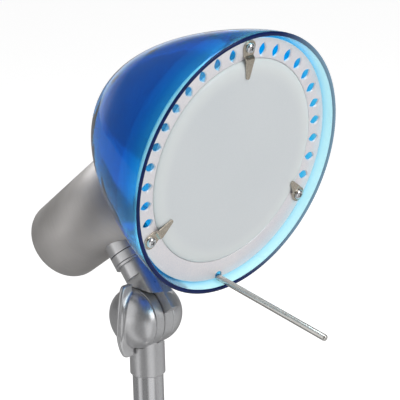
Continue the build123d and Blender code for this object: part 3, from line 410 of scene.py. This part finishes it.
# Joint knobs
# Domed castings with a thumb fin that flows into the dome on both sides, moulded round a brass nut.
KNOB_FACE = 8.2
KNOB_RADIUS = 17.8
KNOB_CROWN = 12.3
FIN_CREST = 1.5
FIN_FLARE = 4.6
FIN_FADE = 2.2
FIN_TOP = 22.4
FIN_SHOULDER = (21.6, 16.7)
FIN_FOOT = (18.5, 11.2)
FIN_WAVE = 0.9
FIN_ROOT = 1.5
KNOB_SKIN = 0.00035
FIN_TURN = {"base": 62, "elbow": -24, "head": 0}


def fin_section(across):
    """Points over the fin at one place across the knob: a round crest that flares into the dome."""
    inside = max(0, 1 - (across / KNOB_RADIUS) ** 2)
    base = KNOB_FACE + KNOB_CROWN * sqrt(inside) - FIN_ROOT if inside > 0 else FIN_FOOT[1]
    share = min(1, abs(across) / FIN_SHOULDER[0])
    crest = FIN_SHOULDER[1] + (FIN_TOP - FIN_SHOULDER[1]) * sqrt(1 - share ** 2)
    base = max(base, FIN_FOOT[1]) if abs(across) > FIN_FOOT[0] - 2 else base
    wave = FIN_WAVE * sin(across / FIN_SHOULDER[0] * tau / 2)
    wall = []
    for step in range(13):
        above = (crest - FIN_CREST - base) * step / 12
        half = FIN_CREST + FIN_FLARE * 2.718 ** (-above / FIN_FADE) * inside
        wall.append((wave + half, across, base + above))
    arc = [radians(15 * step) for step in range(1, 12)]
    top = [(wave + FIN_CREST * cos(turn), across, crest - FIN_CREST + FIN_CREST * sin(turn)) for turn in arc]
    return wall + top + [(2 * wave - x, y, z) for x, y, z in wall[::-1]]


for joint, turn in FIN_TURN.items():
    centre = joints[TILTS[joint]]["pos_m"]
    across_joint = axes(centre, (0, -1, 0), (0, 0, 1)) @ Matrix.Rotation(radians(turn), 4, "Z")
    dome = [(radius, KNOB_FACE + height) for radius, height in quarter(KNOB_RADIUS, KNOB_CROWN, 0, 90)]
    mesh = spun([(0, KNOB_FACE)] + dome)
    stations = [FIN_SHOULDER[0] * sin(radians(6 * step)) for step in range(-15, 16)]
    sections = [[mesh.verts.new(point) for point in fin_section(across)] for across in stations]
    for near, far in zip(sections, sections[1:]):
        for place in range(len(near)):
            following = (place + 1) % len(near)
            mesh.faces.new((near[place], near[following], far[following], far[place]))
    mesh.faces.new(sections[0])
    mesh.faces.new(sections[-1])
    bmesh.ops.recalc_face_normals(mesh, faces=mesh.faces)
    knob = piece(joint + "_knob_casting", mesh, across_joint, bright_casting)
    skin = knob.modifiers.new("skin", "REMESH")
    skin.mode = "VOXEL"
    skin.voxel_size = KNOB_SKIN
    skin.use_smooth_shade = True
    tumble = knob.modifiers.new("tumble", "SMOOTH")
    tumble.factor = 0.6
    tumble.iterations = 7
    fit(knob, joint + "_knob", "cast_metal", joint + "_knob")

# Head fork, friction ring and boss
# Castings of the leaning stem, which the head turns on.
dress(bright_casting, "head_fork", "swivel_ring", "stem_boss", "swivel_saddle")
dress(zinc_steel, "swivel_nipple", "swivel_washer", "swivel_nut")

# Lamp housing
# Aluminium can spun over a former and brushed round its axis, open towards the shade.
HOUSING_FROM_JOINT = Vector((-0.020, 0, 0.0659))
HOUSING_TILT = radians(36.7)
HOUSING_RADIUS = 25.3
HOUSING_TAPER = 0.0232
HOUSING_REAR = -64
HOUSING_FRONT = 32
HOUSING_EDGE = 7
HOUSING_WALL = 1.2
housing_axis = Vector((cos(HOUSING_TILT), 0, sin(HOUSING_TILT)))
housing_place = axes(head_centre + HOUSING_FROM_JOINT, housing_axis, (0, 0, 1))
up_and_out = [joints["clip_" + clip + "_turn"] for clip in ("top", "near", "far")]
flange_centre = sum((Vector(clip["pos_m"]) for clip in up_and_out), Vector()) / 3
mouth_normal = Vector(up_and_out[0]["axis"])
FLANGE_FRONT = -4
rim_centre = flange_centre - mouth_normal * FLANGE_FRONT * 0.001
mouth_place = axes(rim_centre, mouth_normal, Vector(up_and_out[0]["pos_m"]) - flange_centre)

SHADE_RADIUS = 75
SHADE_DEPTH = 96.2
SHADE_WALL = 2.5
SHADE_POWERS = (1.21, 2.05)


def bowl(radius, depth, front=0.0, powers=SHADE_POWERS, steps=56):
    """Outline of a deep bowl behind the mouth, from its rim to its middle."""
    turns = [radians(90 * step / steps) for step in range(steps + 1)]
    return [
        (radius * cos(turn) ** (2 / powers[1]), front - depth * sin(turn) ** (2 / powers[0]))
        for turn in turns[:-1]
    ] + [(0, front - depth)]


def carve(made, cutter, operation="DIFFERENCE"):
    """Cut one piece with another and drop the cutter."""
    cut = made.modifiers.new("cut", "BOOLEAN")
    cut.object = cutter
    cut.operation = operation
    cut.solver = "EXACT"
    bpy.context.view_layer.update()
    shaped = bpy.data.meshes.new_from_object(made.evaluated_get(bpy.context.evaluated_depsgraph_get()))
    made.modifiers.clear()
    made.data = shaped
    bpy.data.objects.remove(cutter)


def can_radius(along):
    """Outside radius of the housing at a distance along its axis."""
    return HOUSING_RADIUS + HOUSING_TAPER * along


ROUND_THE_CAN = (0.03, 0.03, 0.00016)
can_turn = housing_place.to_euler()
brushed_can = grained("brushed_can", "b4b1af", "c3c0be", 0.75, 0.5, ROUND_THE_CAN, 0.000006, can_turn, 0.02)
outer_turn = quarter(HOUSING_EDGE, HOUSING_EDGE, 270, 360, 8)
inner_turn = quarter(HOUSING_EDGE - HOUSING_WALL, HOUSING_EDGE - HOUSING_WALL, 360, 270, 8)
corner = (can_radius(HOUSING_REAR) - HOUSING_EDGE, HOUSING_REAR + HOUSING_EDGE)
outline = [(0, HOUSING_REAR)]
outline += [(corner[0] + x, corner[1] + y) for x, y in outer_turn]
outline += [(can_radius(HOUSING_FRONT), HOUSING_FRONT)]
outline += [(can_radius(HOUSING_FRONT) - HOUSING_WALL, HOUSING_FRONT)]
outline += [(corner[0] + x, corner[1] + y) for x, y in inner_turn]
outline += [(0, HOUSING_REAR + HOUSING_WALL)]
housing = piece("housing_can", spun(outline, 128), housing_place, brushed_can)
shade_form = spun([(0, 0)] + bowl(SHADE_RADIUS, SHADE_DEPTH), 160)
carve(housing, piece("shade_form", shade_form, mouth_place, brushed_can))
fit(housing, "head", "brushed_metal", "lamp_housing")
dress(zinc_steel, "housing_screw", "mounting_plate", "mounting_screws", "lamp_pins")

# Neck and ring nut
# Turned brass sleeve through the shade, and the knurled ring that clamps it.
dress(yellow_brass, "neck", "ring_nut")

# Lampholder and lamp
# Glazed ceramic block, and a small capsule of frosted quartz.
white_ceramic = grained("white_ceramic", "d6d2ca", "e9e6e0", 0, 0.3, (0.0015,) * 3, 0.00001)
frosted_quartz = grained("frosted_quartz", "d8dadb", "ecedee", 0, 0.55, (0.0005,) * 3, 0.00001)
dress(white_ceramic, "lampholder")
dress(frosted_quartz, "lamp_capsule")

# Shade
# Clear blue moulding, polished inside and out, with three screw posts inside its mouth.
# Near its rim its tint is painted paler inside and out, a painted backlight for light coming through the
# rim, and the rim's end is painted paler on one side for the same light.
RIM_ROUND = 0.9
RIM_OUT = 1.5
NECK_HOLE = 15.8
NECK_SEAT = (12, 28.1)
CLIP_CIRCLE = 65.6
POST_RADIUS = 3.8
POST_FRONT = -4.9
POST_LENGTH = 40
PALE_FROM = 2
LIP_REACH = 20
RIM_REACH = 11
RIM_END = 0.7
RIM_END_PAINTED_BACKLIGHT = (0.015, 0.06)
LIP_CLEARNESS = (0.55, 1)
DEEP_BLUE = (0.001, 0.37, 0.85, 1)


def clear_plastic(name, straight, slanting, roughness):
    """Tinted clear plastic that deepens at its silhouette and lets lamps shine through it."""
    material = bpy.data.materials.new(name)
    material.use_nodes = True
    nodes, links = material.node_tree.nodes, material.node_tree.links
    shader = nodes["Principled BSDF"]
    shader.inputs["Transmission Weight"].default_value = 1
    shader.inputs["IOR"].default_value = 1.49
    shader.inputs["Specular IOR Level"].default_value = 0.2
    shader.inputs["Specular Tint"].default_value = (0.12, 0.3, 1, 1)
    facing = nodes.new("ShaderNodeLayerWeight")
    facing.inputs["Blend"].default_value = 0.35
    ramp = nodes.new("ShaderNodeValToRGB")
    ramp.color_ramp.elements[0].color = straight
    ramp.color_ramp.elements[1].color = slanting
    links.new(facing.outputs["Facing"], ramp.inputs["Fac"])
    links.new(ramp.outputs["Color"], shader.inputs["Base Color"])
    where = nodes.new("ShaderNodeTexCoord")
    flow = nodes.new("ShaderNodeTexNoise")
    flow.inputs["Scale"].default_value = 40
    flow.inputs["Detail"].default_value = 1
    links.new(where.outputs["Object"], flow.inputs["Vector"])
    haze = nodes.new("ShaderNodeMapRange")
    haze.inputs["To Min"].default_value = roughness * 0.5
    haze.inputs["To Max"].default_value = roughness * 1.5
    links.new(flow.outputs["Fac"], haze.inputs["Value"])
    links.new(haze.outputs["Result"], shader.inputs["Roughness"])
    ripple = nodes.new("ShaderNodeBump")
    ripple.inputs["Distance"].default_value = 0.0004
    links.new(flow.outputs["Fac"], ripple.inputs["Height"])
    links.new(ripple.outputs["Normal"], shader.inputs["Normal"])
    lit_through = nodes.new("ShaderNodeBsdfTransparent")
    lit_through.inputs["Color"].default_value = [sqrt(part) for part in straight[:3]] + [1]
    path = nodes.new("ShaderNodeLightPath")
    mix = nodes.new("ShaderNodeMixShader")
    links.new(path.outputs["Is Shadow Ray"], mix.inputs["Fac"])
    links.new(shader.outputs[0], mix.inputs[1])
    links.new(lit_through.outputs[0], mix.inputs[2])
    links.new(mix.outputs[0], nodes["Material Output"].inputs["Surface"])
    return material


def tint_over(material, share, tint):
    """Let a tint take the place of the ramp's colour by a share."""
    nodes, links = material.node_tree.nodes, material.node_tree.links
    mix = nodes.new("ShaderNodeMix")
    mix.data_type = "RGBA"
    mix.inputs[7].default_value = tint
    links.new(share, mix.inputs[0])
    links.new(nodes["Color Ramp"].outputs["Color"], mix.inputs[6])
    links.new(mix.outputs[2], nodes["Principled BSDF"].inputs["Base Color"])


blue_plastic = clear_plastic("blue_plastic", DEEP_BLUE, (0.001, 0.08, 0.4, 1), 0.02)
navy_end_with_painted_backlight = grained("navy_end_with_painted_backlight", "04133f", "0a2058", 0, 0.12, (0.004,) * 3, 0.00001)
nodes, links = navy_end_with_painted_backlight.node_tree.nodes, navy_end_with_painted_backlight.node_tree.links
nodes["Principled BSDF"].inputs["Specular IOR Level"].default_value = 0.2
where = nodes.new("ShaderNodeTexCoord")
sideways = nodes.new("ShaderNodeSeparateXYZ")
links.new(where.outputs["Object"], sideways.inputs[0])
# The rim's end is painted paler where it lies further along +Y, a painted backlight for light coming through
# from behind; its navy is the plastic's own colour seen edge-on.
tint_over(navy_end_with_painted_backlight, faded(nodes, links, sideways.outputs["Y"], RIM_END_PAINTED_BACKLIGHT), colour("6f8ea3"))
# Inside the mouth, the lip near the rim is painted pale cyan-white, a painted backlight for light coming
# through the thin wall; seen from the mouth it is partly opaque, so the painted light shows.
lip_painted_backlight = clear_plastic("lip_painted_backlight", (0.85, 1, 1, 1), (0.7, 0.97, 1, 1), 0.12)
nodes, links = lip_painted_backlight.node_tree.nodes, lip_painted_backlight.node_tree.links
from_inside = nodes.new("ShaderNodeNewGeometry")
clearness = nodes.new("ShaderNodeMapRange")
clearness.inputs["To Min"].default_value, clearness.inputs["To Max"].default_value = LIP_CLEARNESS
links.new(from_inside.outputs["Backfacing"], clearness.inputs["Value"])
links.new(clearness.outputs["Result"], nodes["Principled BSDF"].inputs["Transmission Weight"])
# Outside, the band along the rim is painted pale blue, a painted backlight and painted highlight for light
# piped through the rim's edge.
rim_painted_backlight = clear_plastic("rim_painted_backlight", (0.2, 0.75, 1, 1), (0.02, 0.3, 0.75, 1), 0.02)
rim_along = mouth_normal.dot(rim_centre)
# Away from the rim, both painted lights fade back to the deep blue.
for painted_light_finish, depth in ((lip_painted_backlight, LIP_REACH), (rim_painted_backlight, RIM_REACH)):
    nodes, links = painted_light_finish.node_tree.nodes, painted_light_finish.node_tree.links
    where = nodes.new("ShaderNodeTexCoord")
    forward = length_along(nodes, links, where.outputs["Object"], mouth_normal)
    band = (rim_along - depth * 0.001, rim_along - PALE_FROM * 0.001)
    tint_over(painted_light_finish, faded(nodes, links, forward, band, (1, 0)), DEEP_BLUE)


def add_bar(mesh, radius, length, centre, segments=64):
    """Round bar along Z about a centre."""
    ends = {"cap_ends": True, "segments": segments, "radius1": radius, "radius2": radius}
    bmesh.ops.create_cone(mesh, depth=length, matrix=Matrix.Translation(centre), **ends)


def clip_spot(angle, height):
    """Place of a clip screw's axis, at an angle round the mouth from its top."""
    return Vector((CLIP_CIRCLE * sin(radians(angle)), CLIP_CIRCLE * cos(radians(angle)), height))


rim_front = RIM_OUT - RIM_ROUND
rim = [(SHADE_RADIUS - RIM_ROUND + x, rim_front + y) for x, y in quarter(RIM_ROUND, RIM_ROUND, 90, 0, 6)]
inner_rim = SHADE_RADIUS - SHADE_WALL + RIM_ROUND
rim_inside = [(inner_rim + x, rim_front + y) for x, y in quarter(RIM_ROUND, RIM_ROUND, 180, 90, 6)]
outside = bowl(SHADE_RADIUS, SHADE_DEPTH)
inside = bowl(SHADE_RADIUS - SHADE_WALL, SHADE_DEPTH - SHADE_WALL)
outside, inside = [[point for point in side if point[1] < -RIM_ROUND] for side in (outside, inside)]
mesh = spun(inside[::-1] + rim_inside + rim + outside, 192)
shade = piece("shade_moulding", mesh, mouth_place, blue_plastic)
posts = bmesh.new()
for angle in (0, 120, 240):
    add_bar(posts, POST_RADIUS, POST_LENGTH, clip_spot(angle, POST_FRONT - POST_LENGTH / 2), 32)
posts = piece("posts", posts, mouth_place, blue_plastic)
inside_form = spun([(0, 5)] + bowl(SHADE_RADIUS - SHADE_WALL / 2, SHADE_DEPTH - SHADE_WALL / 2), 160)
carve(posts, piece("inside_form", inside_form, mouth_place, blue_plastic), "INTERSECT")
carve(shade, posts, "UNION")
hole = bmesh.new()
add_bar(hole, NECK_HOLE, NECK_SEAT[1] - NECK_SEAT[0], (0, 0, sum(NECK_SEAT) / 2))
carve(shade, piece("neck_hole", hole, housing_place, blue_plastic))
for finish in (navy_end_with_painted_backlight, lip_painted_backlight, rim_painted_backlight):
    shade.data.materials.append(finish)
to_mouth = mouth_place.inverted()
turn_to_mouth = to_mouth.to_3x3().normalized()
# Faces at the rim's end, and inside and outside within reach of the rim, take the painted-light finishes.
for face in shade.data.polygons:
    spot = to_mouth @ face.center
    if spot.z > (RIM_OUT - RIM_END) * 0.001:
        face.material_index = 1
    elif spot.z > -LIP_REACH * 0.001:
        outward = (turn_to_mouth @ face.normal).xy.dot(spot.xy) / spot.xy.length
        if abs(outward) > 0.5:
            face.material_index = 2 if outward < 0 else 3
shade.data.shade_smooth()
shade.data.set_sharp_from_angle(angle=radians(32))
fit(shade, "head", "blue_plastic", "shade")

# Reflector
# Bowl spun from bright aluminium sheet, with a hammered front flange pierced by eye-shaped vents.
SHEET = 0.9
SHEET_ROUND = 0.35
LEDGE = -6.5
BOWL_RADIUS = 57
BOWL_DEPTH = 84.5
BOWL_POWERS = (1.35, 2.4)
NECK_OPENING = 22.2
STEP_RADIUS = 58.7
FLANGE_RADIUS = 70
VENT_CIRCLE = 63.6
VENT_HALF = (3.6, 2.3)
VENT_BEVEL = 0.55
VENT_STEPS = 28
ROD_DROP = 69.7
ROD_NOTCH = (5, 7, 3)
ROD_NOTCH_MIDDLE = -4.4
SLIVER = 0.00002
hammered = grained("hammered_sheet", "dbdae0", "e9e5e7", 0.4, 0.42, (0.0009,) * 3, 0.00008)
ROUND_THE_MOUTH = (0.02, 0.02, 0.0035)
mouth_turn = mouth_place.to_euler()
spun_sheet = grained(
    "spun_sheet", "cfd4d9", "dee1e4", 0.75, 0.13, ROUND_THE_MOUTH, 0.00012, mouth_turn, 0.02
)
outline = bowl(BOWL_RADIUS, BOWL_DEPTH, LEDGE, BOWL_POWERS)[::-1]
outline += [(STEP_RADIUS, LEDGE), (STEP_RADIUS, FLANGE_FRONT), (FLANGE_RADIUS, FLANGE_FRONT)]
outline += [(FLANGE_RADIUS, FLANGE_FRONT - SHEET), (STEP_RADIUS + SHEET, FLANGE_FRONT - SHEET)]
outline += [(STEP_RADIUS + SHEET, LEDGE - SHEET)]
outside = bowl(BOWL_RADIUS + SHEET, BOWL_DEPTH + SHEET, LEDGE, BOWL_POWERS)
outline += [point for point in outside if point[1] < LEDGE - SHEET - 0.2]
mesh = spun(outline, 192)
soften(mesh, SHEET_ROUND, 50)
reflector = piece("reflector_spinning", mesh, mouth_place, hammered)
vents = bmesh.new()
levels = ((-SHEET - 1, 0), (-VENT_BEVEL, 0), (0.01, VENT_BEVEL), (1, VENT_BEVEL))
for angle in [start + 10 * step for start in (-20, 100) for step in range(11)]:
    around = Matrix.Rotation(radians(angle), 4, "Z")
    onto_circle = around @ Matrix.Translation((VENT_CIRCLE, 0, FLANGE_FRONT))
    rings = []
    for rise, growth in levels:
        ring = []
        for turn in [tau * step / VENT_STEPS for step in range(VENT_STEPS)]:
            half = (VENT_HALF[1] + growth) * sin(turn) * abs(sin(turn))
            eye = Vector(((VENT_HALF[0] + growth) * cos(turn), half, rise))
            ring.append(vents.verts.new(onto_circle @ eye))
        rings.append(ring)
    for low, high in zip(rings, rings[1:]):
        for place in range(VENT_STEPS):
            following = (place + 1) % VENT_STEPS
            vents.faces.new((low[place], low[following], high[following], high[place]))
    vents.faces.new(rings[0][::-1])
    vents.faces.new(rings[-1])
bmesh.ops.recalc_face_normals(vents, faces=vents.faces)
carve(reflector, piece("vents", vents, mouth_place, hammered))
notch = bmesh.new()
spot = Matrix.Translation((0, -ROD_DROP, ROD_NOTCH_MIDDLE))
bmesh.ops.create_cube(notch, size=1, matrix=spot @ Matrix.Diagonal((*ROD_NOTCH, 1)))
upright = [edge for edge in notch.edges if abs((edge.verts[0].co - edge.verts[1].co).z) > 1]
bmesh.ops.bevel(notch, geom=upright, offset=2.2, segments=8, profile=0.5, affect="EDGES", material=-1)
carve(reflector, piece("rod_notch", notch, mouth_place, hammered))
hole = bmesh.new()
add_bar(hole, NECK_OPENING, 30, (0, 0, 28))
carve(reflector, piece("lamp_hole", hole, housing_place, hammered))
tidied = bmesh.new()
tidied.from_mesh(reflector.data)
bmesh.ops.remove_doubles(tidied, verts=tidied.verts, dist=SLIVER)
bmesh.ops.dissolve_degenerate(tidied, edges=tidied.edges, dist=SLIVER)
tidied.to_mesh(reflector.data)
tidied.free()
reflector.data.shade_smooth()
reflector.data.set_sharp_from_angle(angle=radians(32))
reflector.data.materials.append(spun_sheet)
for face in reflector.data.polygons:
    if (to_mouth @ face.center).z < (LEDGE - SHEET) * 0.001:
        face.material_index = 1
fit(reflector, "head", "silver_sheet", "reflector")

# Glass disc
# Toughened glass, sandblasted on the inside, with a polished bull-nosed edge.
GLASS_RADIUS = 58.55
GLASS_FRONT = -2.3
GLASS_SHOULDER = (7, 2.2)
EDGE_PAINTED_HIGHLIGHT = (0.047, 0.057)
frosted_glass = grained("frosted_glass", "c3c8cb", "c9cdcf", 0, 0.4, (0.0006,) * 3, 0.000005, cloud=0.08)
nodes, links = frosted_glass.node_tree.nodes, frosted_glass.node_tree.links
where = nodes.new("ShaderNodeTexCoord")
from_middle = nodes.new("ShaderNodeVectorMath")
from_middle.operation = "DISTANCE"
from_middle.inputs[1].default_value = rim_centre
links.new(where.outputs["Object"], from_middle.inputs[0])
# The glass is painted lighter towards its edge, a painted highlight along the bull-nose.
tint_over(frosted_glass, faded(nodes, links, from_middle.outputs["Value"], EDGE_PAINTED_HIGHLIGHT), colour("d0d4d4"))
nose = quarter(GLASS_SHOULDER[0], GLASS_SHOULDER[1], 0, 90, 14)
edge = [(GLASS_RADIUS - GLASS_SHOULDER[0] + x, GLASS_FRONT - GLASS_SHOULDER[1] + y) for x, y in nose]
mesh = spun([(0, LEDGE), (GLASS_RADIUS, LEDGE)] + edge + [(0, GLASS_FRONT)], 160)
glass = piece("glass_plate", mesh, mouth_place, frosted_glass)
fit(glass, "head", "frosted_glass", "glass_disc")

# Glass clips
# Three teardrops pressed from spring strip, stepped up over the glass.
CLIP_HEAD = 4.3
CLIP_TIP = 1.3
CLIP_SHEET = 0.8
CLIP_LIFT = 1.75
CLIP_STEP = (4.4, 6.4)
CLIP_EDGE = 0.00018
CLIPS = {"top": (0, 0, 17.5), "near": (-120, 8, 16.5), "far": (120, -19, 13.5)}
nickel_strip = grained("nickel_strip", "aca496", "cfc6b8", 1, 0.2, (0.0008,) * 3, 0.00002)
for clip, (angle, swing, length) in CLIPS.items():
    mesh = bmesh.new()
    bmesh.ops.create_grid(mesh, x_segments=56, y_segments=8, size=0.5)
    for vert in mesh.verts:
        along = -CLIP_HEAD + (vert.co.x + 0.5) * (length + CLIP_HEAD)
        lean = (CLIP_HEAD - CLIP_TIP) / (length - CLIP_TIP)
        head_end = CLIP_HEAD * lean
        tip_start = length - CLIP_TIP + CLIP_TIP * lean
        if along < head_end:
            half = sqrt(max(0, CLIP_HEAD ** 2 - along ** 2))
        elif along > tip_start:
            half = sqrt(max(0, CLIP_TIP ** 2 - (along - length + CLIP_TIP) ** 2))
        else:
            half = (CLIP_HEAD - along * lean) / sqrt(1 - lean ** 2)
        share = min(1, max(0, (along - CLIP_STEP[0]) / (CLIP_STEP[1] - CLIP_STEP[0])))
        vert.co = (along, vert.co.y * 2 * half, CLIP_LIFT * share * share * (3 - 2 * share))
    bmesh.ops.remove_doubles(mesh, verts=mesh.verts, dist=0.001)
    bmesh.ops.recalc_face_normals(mesh, faces=mesh.faces)
    if sum(face.normal.z for face in mesh.faces) < 0:
        bmesh.ops.reverse_faces(mesh, faces=mesh.faces)
    bmesh.ops.solidify(mesh, geom=mesh.faces, thickness=-CLIP_SHEET)
    bmesh.ops.recalc_face_normals(mesh, faces=mesh.faces)
    around = Matrix.Rotation(radians(-angle), 4, "Z")
    spot = Matrix.Translation((0, CLIP_CIRCLE * 0.001, FLANGE_FRONT * 0.001))
    outward = spot @ Matrix.Rotation(radians(270 + swing), 4, "Z")
    made = piece("spring_" + clip, mesh, mouth_place @ around @ outward, nickel_strip)
    edge = made.modifiers.new("edge", "BEVEL")
    edge.width = CLIP_EDGE
    edge.segments = 2
    edge.limit_method = "ANGLE"
    fit(made, "clip_" + clip, "nickel", "clip_" + clip)

# Clip screws
# Pan-head screws with a cross recess, polished and plated.
SCREW_HEAD = 3
SCREW_RISE = 1.9
UNDER_HEAD = 0.05
SHANK = ((0, -13), (1.2, -12.4), (1.48, -11.5), (1.48, 0))
RECESS = (3.3, 0.7, 1.6)
RECESS_TAPER = (0.6, 0.6, 1)
RECESS_TURNS = (20, 110)
polished_chrome = grained("polished_chrome", "c4c4c6", "dcdcde", 1, 0.09, (0.002,) * 3, 0.000004)
mesh = bmesh.new()
head_start = FLANGE_FRONT + CLIP_SHEET + UNDER_HEAD
for angle in (0, 120, 240):
    turns = [radians(9 * step) for step in range(11)]
    pan = [(SCREW_HEAD * cos(turn), head_start + SCREW_RISE * sin(turn) ** 0.8) for turn in turns]
    shank = [(radius, head_start + height) for radius, height in SHANK]
    one = spun(shank + [(SCREW_HEAD, head_start)] + pan[1:-1] + [(0, head_start + SCREW_RISE)], 48)
    bmesh.ops.translate(one, verts=one.verts, vec=clip_spot(angle, 0))
    loose = bpy.data.meshes.new("one")
    one.to_mesh(loose)
    one.free()
    mesh.from_mesh(loose)
screws = piece("cross_screws", mesh, mouth_place, polished_chrome)
for turn in RECESS_TURNS:
    recess = bmesh.new()
    for angle in (0, 120, 240):
        spot = clip_spot(angle, head_start + RECESS[2])
        turned = Matrix.Rotation(radians(turn), 4, "Z") @ Matrix.Diagonal((*RECESS, 1))
        corners = bmesh.ops.create_cube(recess, size=1, matrix=Matrix.Translation(spot) @ turned)["verts"]
        low = [vert for vert in corners if vert.co.z < spot.z]
        bmesh.ops.scale(recess, verts=low, vec=RECESS_TAPER, space=Matrix.Translation(-spot))
    carve(screws, piece("recess", recess, mouth_place, polished_chrome))
screws.data.shade_smooth()
screws.data.set_sharp_from_angle(angle=radians(32))
fit(screws, "head", "chrome", "clip_screws")

# Handle rod
# Polished stainless rod screwed into the bottom of the shade, for turning the hot head.
ROD_RADIUS = 1.8
ROD_ENDS = (-4.2, 77)
ROD_ROUND = 1.3
ROD_THREAD = ((0, -5.8), (1.38, -5.4), (1.38, 0))
ALONG_THE_ROD = (0.0005, 0.0005, 0.02)
outline = [(radius, ROD_ENDS[0] + height) for radius, height in ROD_THREAD] + [(ROD_RADIUS, ROD_ENDS[0])]
tip = quarter(ROD_ROUND, ROD_ROUND, 0, 90, 8)
outline += [(ROD_RADIUS - ROD_ROUND + x, ROD_ENDS[1] - ROD_ROUND + y) for x, y in tip]
outline += [(0, ROD_ENDS[1])]
rod_place = mouth_place @ Matrix.Translation((0, -ROD_DROP * 0.001, 0))
drawn_steel = grained("drawn_steel", "c4c2be", "d8d6d2", 1, 0.26, ALONG_THE_ROD, 0.000006, mouth_turn, 0.02)
rod = piece("polished_rod", spun(outline, 48), rod_place, drawn_steel)
fit(rod, "head", "chrome", "handle_rod")
